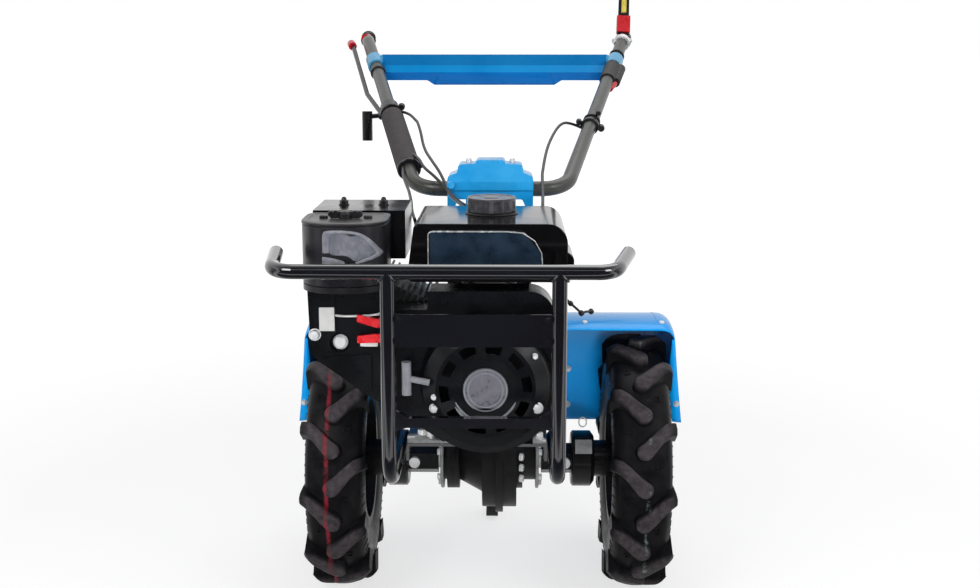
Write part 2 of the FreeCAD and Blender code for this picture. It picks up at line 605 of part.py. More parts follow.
def valve_box(inset):
    """The rocker cover's outer form, or its inside at a wall's thickness."""
    front = CASE_FRONT_Y + 30 + inset
    rear = CASE_REAR_Y - 30 - inset
    outline = [(-44 + inset, front), (44 - inset, front), (44 - inset, rear), (-44 + inset, rear)]
    return plate_xy(outline, (CRANK_Z + HEAD_END, CRANK_Z + HEAD_END + 30 - inset), 12 - inset)


save("valve_cover", along_cylinder(valve_box(0).cut(valve_box(3))))


# ---- fan shroud and recoil starter --------------------------------------------------------------
SHROUD_RADIUS = 104.0
SHROUD_WALL = 1.5
FAN_RADIUS = 84.0
arm_outline = [(-60, -88), (-126, -44), (-170, -18), (-242, 36), (-245, 133), (-140, 133), (-140, 100),
               (-80, 100), (-80, 126), (92, 126), (98, 10)]
ARM_BENDS = [0, 10, 14, 18, 8, 3, 3, 3, 3, 34, 0]


def shroud_form(inset):
    """The round fan cover with its arm over the leaning cylinder, or its inside."""
    front = SHROUD_FRONT_Y + inset
    ring = rod((0, front, CRANK_Z), (0, CASE_FRONT_Y + inset, CRANK_Z), SHROUD_RADIUS - inset)
    wire = corner_wire([(px, front, CRANK_Z + pz) for px, pz in arm_outline], ARM_BENDS, True)
    if inset:
        wire = wire.makeOffset2D(-inset)
    arm = Part.Face(wire).extrude(Vector(0, CASE_FRONT_Y + inset - front, 0))
    return joined([ring, arm])


def on_shroud(outline, y, radii):
    """A raised or sunken form on the shroud's face; heights are from the crankshaft."""
    return plate_xz([(px, CRANK_Z + pz) for px, pz in outline],
                    (SHROUD_FRONT_Y + y[0], SHROUD_FRONT_Y + y[1]), radii)


side_pad = on_shroud([(-241, 42), (-206, 42), (-206, 131), (-241, 131)], (-4, 1), [16, 2, 2, 6])
low_pad = on_shroud([(-212, 33), (-158, 38), (-158, -12), (-172, -14), (-238, 33)], (-4, 1), [3, 3, 3, 10, 3])
cup_spot = (-201, CRANK_Z + 54)
cup = rod((cup_spot[0], SHROUD_FRONT_Y, cup_spot[1]), (cup_spot[0], SHROUD_FRONT_Y + 9, cup_spot[1]), 17)
cup_room = rod((cup_spot[0], SHROUD_FRONT_Y - 9, cup_spot[1]),
               (cup_spot[0], SHROUD_FRONT_Y + 6, cup_spot[1]), 14.5)
fan_hole = rod((0, SHROUD_FRONT_Y - 1, CRANK_Z), (0, SHROUD_FRONT_Y + 4, CRANK_Z), FAN_RADIUS)
fan_shroud = joined([shroud_form(0).cut(shroud_form(SHROUD_WALL)), side_pad, low_pad, cup])
fan_shroud = fan_shroud.cut(fan_hole).cut(cup_room)
save("fan_shroud", fan_shroud)

RECOIL_WALL = 1.5
face_y = RECOIL_FRONT_Y
recoil = around_crank([(SHROUD_FRONT_Y, FAN_RADIUS), (SHROUD_FRONT_Y, FAN_RADIUS + 8), (face_y + 16, 86),
                       (face_y + 4, 68), (face_y, 44), (face_y, 0.01), (face_y + RECOIL_WALL, 0.01),
                       (face_y + RECOIL_WALL, 44), (face_y + 4 + RECOIL_WALL, 66), (face_y + 18, 82)])
SLOTS = 10
slots = []
for i in range(SLOTS):
    slots.append(around_crank([(face_y - 5, 50), (face_y + 30, 50), (face_y + 30, 63), (face_y - 5, 63)],
                              i * 360 / SLOTS, 22))
recoil = recoil.cut(Part.makeCompound(slots))
save("recoil_cover", recoil)
BADGE_RADIUS = 30.5
badge = rod((0, face_y - 3, CRANK_Z), (0, face_y, CRANK_Z), BADGE_RADIUS)
badge = badge.cut(box((-40, 40), (face_y - 5, face_y + 1), (CRANK_Z - 40, CRANK_Z - 25)))
save("recoil_badge", badge)
handle_y = face_y + 7
pull = joined([rod((-107, handle_y, CRANK_Z - 9), (-107, handle_y, CRANK_Z + 37), 6.5),
               rod((-107, handle_y, CRANK_Z + 14), (-76, handle_y, CRANK_Z + 8), 4.5)])
save("recoil_handle", pull.cut(recoil))


# ---- fuel tank ----------------------------------------------------------------------------------
TANK_X = (-109.0, 111.0)
TANK_Y = (SHROUD_FRONT_Y, -152.0)
TANK_Z = (ENGINE_BASE_Z + 245, ENGINE_BASE_Z + 325)
TANK_WALL = 4.0
TANK_CORNER = 27.0


def tank_form(inset):
    """The tank's outer form, or its inside at a wall's thickness."""
    low = TANK_Z[0] + inset
    high = TANK_Z[1] - inset
    outline = [(TANK_X[0] + inset, low), (TANK_X[1] - inset, low), (TANK_X[1] - inset, high),
               (TANK_X[0] + 11 + inset, high)]
    return plate_xz(outline, (TANK_Y[0] + inset, TANK_Y[1] - inset), [8, 8, TANK_CORNER - inset, 8])


bulge = plate_xz([(TANK_X[1] - 10, TANK_Z[0] + 3), (TANK_X[1] + 11, TANK_Z[0] + 3),
                  (TANK_X[1] + 11, TANK_Z[0] + 28), (TANK_X[1] - 10, TANK_Z[0] + 42)],
                 (TANK_Y[0] + 45, TANK_Y[1] - 56), [0, 6, 12, 0])
panel_x = (TANK_X[0] + 32, TANK_X[1] - 33)
front_panel = plate_xz([(panel_x[0], TANK_Z[0] + 6), (panel_x[1], TANK_Z[0] + 6),
                        (panel_x[1] - 3, TANK_Z[0] + 40), (panel_x[1] - 28, TANK_Z[1] - 9),
                        (panel_x[0], TANK_Z[1] - 9)], (TANK_Y[0] - 1, TANK_Y[0] + 2), [4, 4, 22, 16, 4])
tank = joined([tank_form(0), bulge]).cut(tank_form(TANK_WALL)).cut(front_panel)
save("fuel_tank", tank)
CAP_X = 6.0
CAP_Y = -235.0
CAP_RADIUS = 35.0
CAP_FLUTES = 14
FLUTE_RADIUS = 5.0
cap_z = (TANK_Z[1], TANK_Z[1] + 23)
cap = joined([rod((CAP_X, CAP_Y, cap_z[0]), (CAP_X, CAP_Y, cap_z[0] + 4), CAP_RADIUS - 5),
              rod((CAP_X, CAP_Y, cap_z[0] + 4), (CAP_X, CAP_Y, cap_z[1]), CAP_RADIUS)])
flutes = []
for i in range(CAP_FLUTES):
    turn = 2 * math.pi * i / CAP_FLUTES
    reach = CAP_RADIUS + 2
    spot = (CAP_X + reach * math.cos(turn), CAP_Y + reach * math.sin(turn))
    flutes.append(rod((spot[0], spot[1], cap_z[0] + 3), (spot[0], spot[1], cap_z[1] - 4), FLUTE_RADIUS))
save("fuel_cap", cap.cut(Part.makeCompound(flutes)))
straps = []
for strap_y in ((-282, -256), (-190, -160)):
    strap = box((-26, 60), strap_y, (CASE_TOP_Z, TANK_Z[0]))
    strap = strap.cut(box((-18, 52), (strap_y[0] - 5, strap_y[1] + 5), (CASE_TOP_Z + 5, TANK_Z[0] - 5)))
    straps.append(strap.cut(fan_shroud).cut(cylinder))
save("tank_brackets", Part.makeCompound(straps))


# ---- air cleaner, carburettor and exhaust ---------------------------------------------------------
CLEANER_X = (-248.0, -133.0)
CLEANER_Y = (-402.0, -292.0)
CLEANER_Z = (CRANK_Z + 141, CRANK_Z + 225)
CLEANER_NOSE = 50.0         # radius of its rounded front corners
CLEANER_WALL = 3.0
LID = 10.0


def cleaner_form(inset, z):
    """The air cleaner's plan, drawn in by a margin, between two heights."""
    outline = [(CLEANER_X[0] + inset, CLEANER_Y[0] + inset), (CLEANER_X[1] - inset, CLEANER_Y[0] + inset),
               (CLEANER_X[1] - inset, CLEANER_Y[1] - inset), (CLEANER_X[0] + inset, CLEANER_Y[1] - inset)]
    nose = CLEANER_NOSE - inset
    return plate_xy(outline, z, [nose, nose, 12, 12])


low, high = CLEANER_Z
canister = [cleaner_form(0, (low, high - LID)), cleaner_form(1.5, (high - LID - 1, high - LID + 2)),
            cleaner_form(0, (high - LID + 2, high - 3)), cleaner_form(3, (high - 4, high))]
cleaner = joined(canister).cut(cleaner_form(CLEANER_WALL, (low - 1, high - CLEANER_WALL - 3)))
face_x = CLEANER_X[0] + 26
face_panel = plate_xz([(face_x, low + 18), (face_x + 34, low + 14), (face_x + 54, low + 26),
                       (face_x + 84, low + 33), (face_x + 84, low + 48), (face_x + 42, high - 12),
                       (face_x, high - 12)], (CLEANER_Y[0] - 1, CLEANER_Y[0] + 60), [3, 5, 6, 8, 14, 24, 3])
skin = cleaner_form(-1, (low, high)).cut(cleaner_form(1.2, (low - 1, high + 1)))
save("air_cleaner_cover", cleaner.cut(face_panel.common(skin)))
save("air_cleaner_base", cleaner_form(0, (low - 8, low)).cut(fan_shroud))
nut_spot = (CLEANER_X[0] + 58, CLEANER_Y[0] + 55)
wing_nut = joined([rod((nut_spot[0], nut_spot[1], high), (nut_spot[0], nut_spot[1], high + 8), 9),
                   box((nut_spot[0] - 20, nut_spot[0] + 20), (nut_spot[1] - 2.5, nut_spot[1] + 2.5),
                       (high + 2, high + 11))])
save("air_cleaner_knobs", wing_nut)

CARB_Y = (CLEANER_Y[1], -264.0)
carb_z = (CRANK_Z + 161, CRANK_Z + 203)
inlet = box((-186, -158), (CARB_Y[0] + 4, CARB_Y[1]), (CRANK_Z + 129, carb_z[0] + 5))
inlet = inlet.cut(head_piece).cut(cylinder)
carb = joined([box((-236, -150), CARB_Y, carb_z), inlet,
               rod((-224, -279, CRANK_Z + 134), (-224, -279, carb_z[0] + 2), 11)]).cut(fan_shroud)
save("carburettor", carb)

MUFFLER_X = (-238.0, -124.0)
MUFFLER_Y = (-252.0, -146.0)
MUFFLER_Z = (CRANK_Z + 159, CRANK_Z + 217)
GUARD_ROOM = 9.0            # between the silencer and its guard


def muffler_form(inset):
    """The silencer's rounded can, or its inside at a wall's thickness."""
    x0 = MUFFLER_X[0] + inset
    x1 = MUFFLER_X[1] - inset
    z0 = MUFFLER_Z[0] + inset
    z1 = MUFFLER_Z[1] - inset
    depth = (MUFFLER_Y[0] + inset, MUFFLER_Y[1] - inset)
    return plate_xz([(x0, z0), (x1, z0), (x1, z1), (x0, z1)], depth, 18 - inset)


save("muffler", muffler_form(0).cut(muffler_form(2)))
PIPE_X = -176.0
pipe = rod((PIPE_X, middle_y, CRANK_Z + 130), (PIPE_X, middle_y, MUFFLER_Z[0]), 10)
save("exhaust_pipe", pipe.cut(head_piece).cut(cylinder))
cage_x = (MUFFLER_X[0] - GUARD_ROOM, MUFFLER_X[1] + GUARD_ROOM - 1)
cage_y = (MUFFLER_Y[0] - GUARD_ROOM, MUFFLER_Y[1] + GUARD_ROOM)
cage_z = (MUFFLER_Z[0] - 2, MUFFLER_Z[1] + GUARD_ROOM)
cage_room = box((cage_x[0] + SHEET, cage_x[1] - SHEET), (cage_y[0] + SHEET, cage_y[1] - SHEET),
                (cage_z[0] - 1, cage_z[1] - SHEET))
cage = box(cage_x, cage_y, cage_z).cut(cage_room)
louvre_z = (cage_z[0] + 12, cage_z[1] - 14)
louvres = []
for i in range(6):
    slot_y = cage_y[0] + 16 + 15 * i
    louvres.append(box((cage_x[0] - 1, cage_x[0] + 5), (slot_y, slot_y + 7), louvre_z))
for i in range(7):
    slot_x = cage_x[0] + 14 + 15 * i
    louvres.append(box((slot_x, slot_x + 7), (cage_y[1] - 5, cage_y[1] + 1), louvre_z))
cage = cage.cut(Part.makeCompound(louvres))
spacers = [rod((x, middle_y, MUFFLER_Z[1]), (x, middle_y, cage_z[1] - 1), 6) for x in (-210, -152)]
save("muffler_guard", joined([cage] + spacers))

lever_y = (SHROUD_FRONT_Y - 14, SHROUD_FRONT_Y - 8)
red_levers = []
for rest_z, rise in ((84, 6), (63, -3)):
    spot = CRANK_Z + rest_z
    blade = plate_xz([(-176, spot - 4 + rise), (-150, spot - 6), (-142, spot - 6), (-142, spot + 6),
                      (-150, spot + 6), (-176, spot + 6 + rise)], lever_y, [2, 4, 4, 4, 4, 2])
    pivot = rod((-146, lever_y[0] + 1, spot), (-146, SHROUD_FRONT_Y, spot), 4)
    red_levers.append(joined([blade, pivot]))
save("engine_levers", Part.makeCompound(red_levers))


# ---- handlebar head on the turntable ---------------------------------------------------------------
HEAD_HALF_X = 70.0
HEAD_HALF_Y = 26.0
EAR_DEPTH = 27.0
under_bar = BAR_Z - 0.5
head_disc = rod((0, BAR_Y, TURN_Z + SKIN_GAP), (0, BAR_Y, TURN_Z + 12), TURN_RADIUS)
post = rod((0, BAR_Y, GEAR_TOP_Z + 1), (0, BAR_Y, TURN_Z + 2), POST_RADIUS)
pedestal = box((-40, 40), (BAR_Y - HEAD_HALF_Y, BAR_Y + HEAD_HALF_Y), (TURN_Z + 11, under_bar))
cradle = plate_xz([(-HEAD_HALF_X, under_bar - EAR_DEPTH), (12 - HEAD_HALF_X, under_bar - EAR_DEPTH),
                   (18 - HEAD_HALF_X, under_bar - 14), (HEAD_HALF_X - 18, under_bar - 14),
                   (HEAD_HALF_X - 12, under_bar - EAR_DEPTH), (HEAD_HALF_X, under_bar - EAR_DEPTH),
                   (HEAD_HALF_X, under_bar), (-HEAD_HALF_X, under_bar)],
                  (BAR_Y - HEAD_HALF_Y, BAR_Y + HEAD_HALF_Y), [3, 3, 4, 4, 3, 3, 0, 0])
bar_bore = rod((-100, BAR_Y, BAR_Z), (100, BAR_Y, BAR_Z), BAR_RADIUS + RUNNING_GAP)
save("swivel_head", joined([head_disc, post, pedestal, cradle]).cut(bar_bore))
clamp_y = (BAR_Y - 30, BAR_Y + 34)
cap_line = [(-HEAD_HALF_X, 0.5), (HEAD_HALF_X, 0.5), (HEAD_HALF_X, 23), (54, 29), (52, 42), (25, 43),
            (22, 49), (-22, 49), (-25, 43), (-52, 42), (-54, 29), (-HEAD_HALF_X, 23)]
clamp = plate_xz([(px, BAR_Z + pz) for px, pz in cap_line], clamp_y, [0, 0, 8, 4, 6, 3, 5, 5, 3, 6, 4, 8])
slope = plate_yz([(clamp_y[0] - 1, BAR_Z + 12), (clamp_y[0] + 14, BAR_Z + 55), (clamp_y[0] - 1, BAR_Z + 55)],
                 (-HEAD_HALF_X - 1, HEAD_HALF_X + 1))
save("clamp_cover", clamp.cut(slope).cut(bar_bore))


# ---- handlebar --------------------------------------------------------------------------------------
BAR_BEND = 50.0
left_run = [on_bar(BAR_CORNER_X, BAR_Y), tuple(grip_bend), tuple(grip_end)]
right_run = [(-x, y, z) for x, y, z in left_run]
handlebar = tube(right_run[::-1] + left_run, BAR_RADIUS, [0, 70, BAR_BEND, BAR_BEND, 70, 0])
save("handlebar", handlebar)


def tube_x(y):
    """How far from the middle the rising tubes are at a given Y."""
    share = (y - BAR_Y) / (GRIP_BEND[1] - BAR_Y)
    return BAR_CORNER_X + share * (GRIP_BEND[0] - BAR_CORNER_X)


def by_tube(side, y, off=(0, 0, 0)):
    """A point on a rising tube's centre line, or beside it; side is +1 for the left tube."""
    return Vector(*on_bar(side * tube_x(y), y)) + Vector(*off)


def sleeve(side, y, radius):
    """A ring or sleeve round a rising tube, between two values of Y."""
    return rod(by_tube(side, y[0]), by_tube(side, y[1]), radius).cut(handlebar)


CLUTCH_Y = 364.0            # pivot of the clutch lever
PANEL_Y = 600.0
PANEL_DIP = 9.0
panel_half = tube_x(PANEL_Y) - BAR_RADIUS + 3
PANEL_LOW = -45.0
profile = [(26, 15), (0, 15), (-2, -6), (-12, -20), (-12, PANEL_LOW), (14, PANEL_LOW)]
thick = 2.5
inner = [(14, thick + PANEL_LOW), (thick - 12, thick + PANEL_LOW), (thick - 12, -20 - thick / 3),
         (thick - 2, -6 - thick / 3),
         (thick - 0.2, 15 - thick), (26, 15 - thick)]
panel_z = on_bar(0, PANEL_Y)[2]
pressing = plate_yz([(PANEL_Y + py, panel_z + pz) for py, pz in profile + inner], (-panel_half, panel_half))
low_edge = PANEL_DIP + PANEL_LOW
panel_front = [(-panel_half, 15), (panel_half, 15), (panel_half - 4, low_edge), (135, low_edge),
               (121, PANEL_LOW), (-121, PANEL_LOW), (-135, low_edge), (4 - panel_half, low_edge)]
trim = plate_xz([(px, panel_z + pz) for px, pz in panel_front], (PANEL_Y - 60, PANEL_Y + 60),
                [6, 6, 8, 6, 6, 6, 6, 8])
collars = [rod(by_tube(side, PANEL_Y - 26), by_tube(side, PANEL_Y + 12), BAR_RADIUS + 4) for side in (-1, 1)]
cross_panel = joined([pressing.common(trim)] + collars).cut(handlebar)
save("cross_panel", cross_panel)


def grip(sign):
    """A rubber grip with a collar at each end, pushed on the end of a tube."""
    tip = Vector(sign * grip_end.x, grip_end.y, grip_end.z)
    along = Vector(sign * grip_heading.x, grip_heading.y, grip_heading.z)
    start = tip - along * GRIP_LENGTH
    pieces = [Part.makeCylinder(GRIP_RADIUS - 2, GRIP_LENGTH, start, along),
              Part.makeCylinder(GRIP_RADIUS, 8, start, along),
              Part.makeCylinder(GRIP_RADIUS, 5, tip - along * 5, along)]
    return joined(pieces).cut(handlebar)


save("grip_left", grip(1))
save("grip_right", grip(-1))
FOAM_Y = (132.0, CLUTCH_Y - 28)
foam_sleeve = sleeve(-1, FOAM_Y, BAR_RADIUS + 8)
save("foam_sleeve", foam_sleeve)


# ---- controls on the handlebar ------------------------------------------------------------------------
clutch_pivot = sleeve(-1, (CLUTCH_Y - 14, CLUTCH_Y + 14), BAR_RADIUS + 5)
strap_end = by_tube(-1, 704, (-33, 0, -6))
strap_run = [by_tube(-1, CLUTCH_Y, (-14, -6, -8)), by_tube(-1, 470, (-31, 0, -12)), strap_end]
strap = tube(strap_run, 4.5, [0, 60, 0])
hook = tube([by_tube(-1, CLUTCH_Y, (-14, -6, -8)), by_tube(-1, CLUTCH_Y, (-42, -12, -10)),
             by_tube(-1, CLUTCH_Y, (-42, -14, -40))], 4.5, [0, 10, 0])
paddle = rod(by_tube(-1, CLUTCH_Y, (-42, -12, 0)), by_tube(-1, CLUTCH_Y, (-42, -14, -54)), 9.5)
clutch_lever = joined([clutch_pivot, strap, hook, paddle]).cut(handlebar)
save("clutch_lever", clutch_lever)

THROTTLE_Y = (505.0, 580.0)
throttle_body = sleeve(1, THROTTLE_Y, BAR_RADIUS + 3)
pod = rod(by_tube(1, THROTTLE_Y[0] + 6, (14, 0, -6)), by_tube(1, THROTTLE_Y[1] - 4, (16, 0, -4)), 10)
throttle = joined([throttle_body, pod]).cut(handlebar).cut(cross_panel)
save("throttle_control", throttle)

LOCK_Y = 735.0
lock_foot = Vector(grip_bend.x + 3, LOCK_Y, grip_bend.z + 1)
lock_top = lock_foot + Vector(4, 38, 92)
lock_ring = Part.makeCylinder(BAR_RADIUS + 5, 22, lock_foot - grip_heading * 11, grip_heading)
lever_half = 12.0
lock_blade = plate_xz([(-lever_half, 0), (lever_half, 0), (lever_half - 1, 99), (1 - lever_half, 99)],
                      (-2.5, 2.5), 2)
lean = FreeCAD.Rotation(Vector(0, 0, 1), lock_top - lock_foot)
lock_blade.Placement = FreeCAD.Placement(lock_foot, lean)
safety_lever = joined([lock_ring, lock_blade]).cut(handlebar)
save("safety_lever", safety_lever)


def on_lock(along, across, radius, length):
    """A block across the safety lever, at a distance up its blade."""
    piece = box((across[0], across[1]), (-radius, radius), (along, along + length))
    piece.Placement = FreeCAD.Placement(lock_foot, lean)
    return piece


red = [on_lock(18, (-14, 14), 8, 36).cut(safety_lever)]
red.append(rod(by_tube(1, THROTTLE_Y[0] + 2, (14, 0, -6)), by_tube(1, THROTTLE_Y[0] - 20, (8, 0, -8)), 6).cut(
    throttle).cut(handlebar))
red.append(rod(strap_end - Vector(0, 6, 1), strap_end + Vector(-5, 14, 4), 8.5).cut(clutch_lever))
stop_foot = Vector(-grip_bend.x - 8, GRIP_BEND[1] + 22, grip_bend.z + 7)
red.append(rod(stop_foot, stop_foot + Vector(3, 20, 0), 9).cut(handlebar).cut(clutch_lever))
save("control_knobs", Part.makeCompound(red))


# ---- control cables ---------------------------------------------------------------------------------
bell_top = CRANK_Z + CLUTCH_RADIUS - 4
behind_tank = TANK_Y[1] + 22
chassis_cables = [
    cable("clutch cable", [(-112, behind_tank, TANK_Z[1] - 24), (-106, behind_tank + 4, TANK_Z[0] + 24),
                           (-84, behind_tank + 12, TANK_Z[0] - 16), (-52, behind_tank + 28, bell_top + 12),
                           (-42, behind_tank + 34, bell_top - 16)]),
    cable("reverse cable", [(82, behind_tank + 38, TANK_Z[1] - 20), (80, behind_tank + 30, TANK_Z[0] + 20),
                            (62, behind_tank + 26, TANK_Z[0] - 14), (42, behind_tank + 30, bell_top - 10)]),
    cable("throttle cable", [(-36, behind_tank + 40, TANK_Z[1] - 14), (-40, behind_tank + 34, TANK_Z[0] + 26),
                             (-24, behind_tank + 30, TANK_Z[0] - 12), (-8, behind_tank + 34, bell_top - 10)])]
chassis_cables = [piece.cut(clutch_housing).cut(case) for piece in chassis_cables]
save("chassis_cables", Part.makeCompound(chassis_cables))
beside = BAR_RADIUS + CABLE_RADIUS
bar_cables = [
    cable("cable on the right tube", [by_tube(-1, CLUTCH_Y - 6, (10, 0, 3)),
                                      by_tube(-1, CLUTCH_Y - 30, (beside + 11, 0, 12)),
                                      by_tube(-1, CLUTCH_Y - 62, (beside + 13, 0, 18)),
                                      by_tube(-1, CLUTCH_Y - 100, (beside + 20, 0, 22))]),
    cable("cable on the left tube", [by_tube(1, THROTTLE_Y[0] - 27, (4, 0, -beside)),
                                     by_tube(1, 420, (-5, 0, -beside - 1)),
                                     by_tube(1, 360, (-beside, 0, -8)),
                                     by_tube(1, 300, (-beside - 2, 0, -3))])]
bar_cables = [piece.cut(handlebar).cut(foam_sleeve).cut(clutch_lever) for piece in bar_cables]
save("bar_cables", Part.makeCompound(bar_cables))
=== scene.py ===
import random
from math import atan2, copysign, cos, hypot, pi, radians, sin, sqrt, tan

import bmesh
import bpy
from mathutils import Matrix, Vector
from mathutils.bvhtree import BVHTree


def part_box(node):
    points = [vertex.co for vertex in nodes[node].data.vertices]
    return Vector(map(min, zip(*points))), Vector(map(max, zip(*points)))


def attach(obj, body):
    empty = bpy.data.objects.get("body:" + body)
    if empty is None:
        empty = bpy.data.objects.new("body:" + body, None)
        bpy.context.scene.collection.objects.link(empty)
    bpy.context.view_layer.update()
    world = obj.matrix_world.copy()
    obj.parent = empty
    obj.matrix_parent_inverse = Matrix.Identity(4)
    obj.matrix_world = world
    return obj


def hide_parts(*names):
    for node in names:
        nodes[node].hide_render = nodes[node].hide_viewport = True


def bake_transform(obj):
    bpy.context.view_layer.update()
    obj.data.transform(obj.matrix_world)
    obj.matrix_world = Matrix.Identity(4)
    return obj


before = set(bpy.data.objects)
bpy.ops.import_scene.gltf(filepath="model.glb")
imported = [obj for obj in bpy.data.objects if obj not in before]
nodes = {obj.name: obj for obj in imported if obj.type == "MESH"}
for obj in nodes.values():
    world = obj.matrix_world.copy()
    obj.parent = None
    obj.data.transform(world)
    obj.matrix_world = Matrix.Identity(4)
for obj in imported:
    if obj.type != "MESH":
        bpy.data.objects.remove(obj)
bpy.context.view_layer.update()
scene = bpy.context.scene
# Places are measured from the middle of the wheels' shaft or from a solid's own box, in metres.
axle = (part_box("wheel_shaft")[0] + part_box("wheel_shaft")[1]) / 2

# The camera stands 2.1 m in front of the wheel axle and 0.9 m up, a little to the operator's left, with a 49 mm
# lens on a 36 mm frame. It looks down at the machine by eleven degrees.
camera_data = bpy.data.cameras.new("camera")
camera_data.sensor_width = 36.0
camera_data.lens = 49.0
camera = bpy.data.objects.new("camera", camera_data)
camera.location = (axle.x + 0.0325, axle.y - 2.132, axle.z + 0.6987)
look_down, look_aside = 11.159, 0.871
camera.rotation_euler = (radians(90 - look_down), 0, radians(look_aside))
scene.collection.objects.link(camera)
scene.camera = camera


# The studio: a pale, matt sheet of floor that keeps the machine's shadow, a white surround that the camera sees,
# four wide soft lamps and two narrow ones aimed at the mudguards' inner faces. Reflections see a room that is dim
# on the camera's side, with bright strips at both sides, above and on the floor.
def linear(shade):
    """The linear colour of an sRGB hex value such as "0b7fcb"."""
    channels = [int(shade[i:i + 2], 16) / 255 for i in (0, 2, 4)]
    return [c / 12.92 if c <= 0.04045 else ((c + 0.055) / 1.055) ** 2.4 for c in channels] + [1.0]


def add(tree, kind, settings=None, **inputs):
    """Adds a shader node. An input is a value, or the socket that feeds it; an underscore stands for a space."""
    node = tree.nodes.new("ShaderNode" + kind)
    for name, value in (settings or {}).items():
        setattr(node, name, value)
    for name, value in inputs.items():
        place = int(name[1:]) if name[1:].isdigit() else name.replace("_", " ")
        if isinstance(value, bpy.types.NodeSocket):
            tree.links.new(value, node.inputs[place])
        else:
            node.inputs[place].default_value = value
    return node


def reckon(tree, operation, *terms):
    """The result of a Math node on one or two values or sockets."""
    return add(tree, "Math", {"operation": operation}, **{f"i{k}": term for k, term in enumerate(terms)}).outputs[0]


def ramp(tree, value, start, end, low=0.0, high=1.0):
    """A number that goes from low to high while value goes from start to end."""
    return add(tree, "MapRange", Value=value, From_Min=start, From_Max=end, To_Min=low, To_Max=high).outputs[0]


def band(tree, value, middle, near, far):
    """A number that is 1 where value lies within near of middle, and falls to 0 at far from it."""
    return ramp(tree, reckon(tree, "ABSOLUTE", reckon(tree, "SUBTRACT", value, middle)), near, far, 1.0, 0.0)


def show(name, mesh, material, body=None):
    """Puts a mesh into the scene as one piece, in that material, riding on that body."""
    piece = bpy.data.objects.new(name, mesh)
    scene.collection.objects.link(piece)
    mesh.materials.clear()
    mesh.materials.append(material)
    if body:
        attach(piece, body)
    return piece


def lamp(name, kind, place, target, power, mirrored, **shape):
    """Adds a lamp at place that looks at target; reflections see it only if it is mirrored."""
    data = bpy.data.lights.new(name, kind)
    data.energy = power
    for setting, value in shape.items():
        setattr(data, setting, value)
    holder = bpy.data.objects.new(name, data)
    holder.location = place
    holder.rotation_euler = (Vector(target) - holder.location).to_track_quat("-Z", "Y").to_euler()
    holder.visible_glossy = mirrored
    scene.collection.objects.link(holder)


white = linear("ffffff")
side_strip = (0.84, 0.05, 0.09)
world = bpy.data.worlds.new("studio_surround")
world.use_nodes = True
scene.world = world
sky = world.node_tree
sky.nodes.clear()
ray = add(sky, "LightPath").outputs
heading = add(sky, "SeparateXYZ", Vector=add(sky, "TexCoord").outputs["Generated"]).outputs
room = ramp(sky, heading["Y"], -0.4, 0.35, 0.05, 1.0)
strips = reckon(sky, "MAXIMUM", band(sky, reckon(sky, "ABSOLUTE", heading["X"]), *side_strip),
                band(sky, heading["Z"], 0.63, 0.03, 0.08))
mirrored = reckon(sky, "MAXIMUM", room, strips)
indirect = add(sky, "Mix", {"data_type": "FLOAT"}, i0=ray["Is Glossy Ray"], i2=0.36, i3=mirrored).outputs[0]
direct = reckon(sky, "MAXIMUM", ray["Is Camera Ray"], ray["Is Transmission Ray"])
strength = add(sky, "Mix", {"data_type": "FLOAT"}, i0=direct, i2=indirect, i3=1.0).outputs[0]
add(sky, "OutputWorld", Surface=add(sky, "Background", Color=white, Strength=strength).outputs[0])

floor_sheet = bpy.data.materials.new("matt_studio_floor")
floor_sheet.use_nodes = True
tree = floor_sheet.node_tree
tree.nodes.clear()
ray = add(tree, "LightPath").outputs
spot = add(tree, "TexCoord").outputs["Object"]
matt = add(tree, "BsdfDiffuse", Color=linear("e6e6e6")).outputs[0]
half_matt = add(tree, "BsdfDiffuse", Color=linear("a8a8a8")).outputs[0]
away = add(tree, "VectorMath", {"operation": "LENGTH"}, i0=spot).outputs["Value"]
glow = add(tree, "Emission", Color=white, Strength=ramp(tree, away, 0.9, 3.6, 0.66, 1.0)).outputs[0]
lit = add(tree, "AddShader", i0=half_matt, i1=glow).outputs[0]
plain = add(tree, "MixShader", Fac=ray["Is Camera Ray"], i1=matt, i2=lit).outputs[0]
depth = add(tree, "SeparateXYZ", Vector=spot).outputs["Y"]
outward = add(tree, "VectorMath", {"operation": "NORMALIZE"}, i0=spot).outputs[0]
lean = reckon(tree, "ABSOLUTE", add(tree, "SeparateXYZ", Vector=outward).outputs["X"])
strips = reckon(tree, "MAXIMUM", band(tree, lean, *side_strip), band(tree, depth, -1.55, 0.18, 0.32))
mirrored = reckon(tree, "MAXIMUM", ramp(tree, depth, -0.9, 0.5, 0.04, 0.95), strips)
sheen = add(tree, "Emission", Color=white, Strength=mirrored).outputs[0]
seen = add(tree, "MixShader", Fac=ray["Is Glossy Ray"], i1=plain, i2=sheen)
add(tree, "OutputMaterial", Surface=seen.outputs[0])
floor_mesh = bpy.data.meshes.new("floor")
floor_mesh.from_pydata([(-40, -40, 0), (40, -40, 0), (40, 40, 0), (-40, 40, 0)], [], [(0, 1, 2, 3)])
show("floor", floor_mesh, floor_sheet)

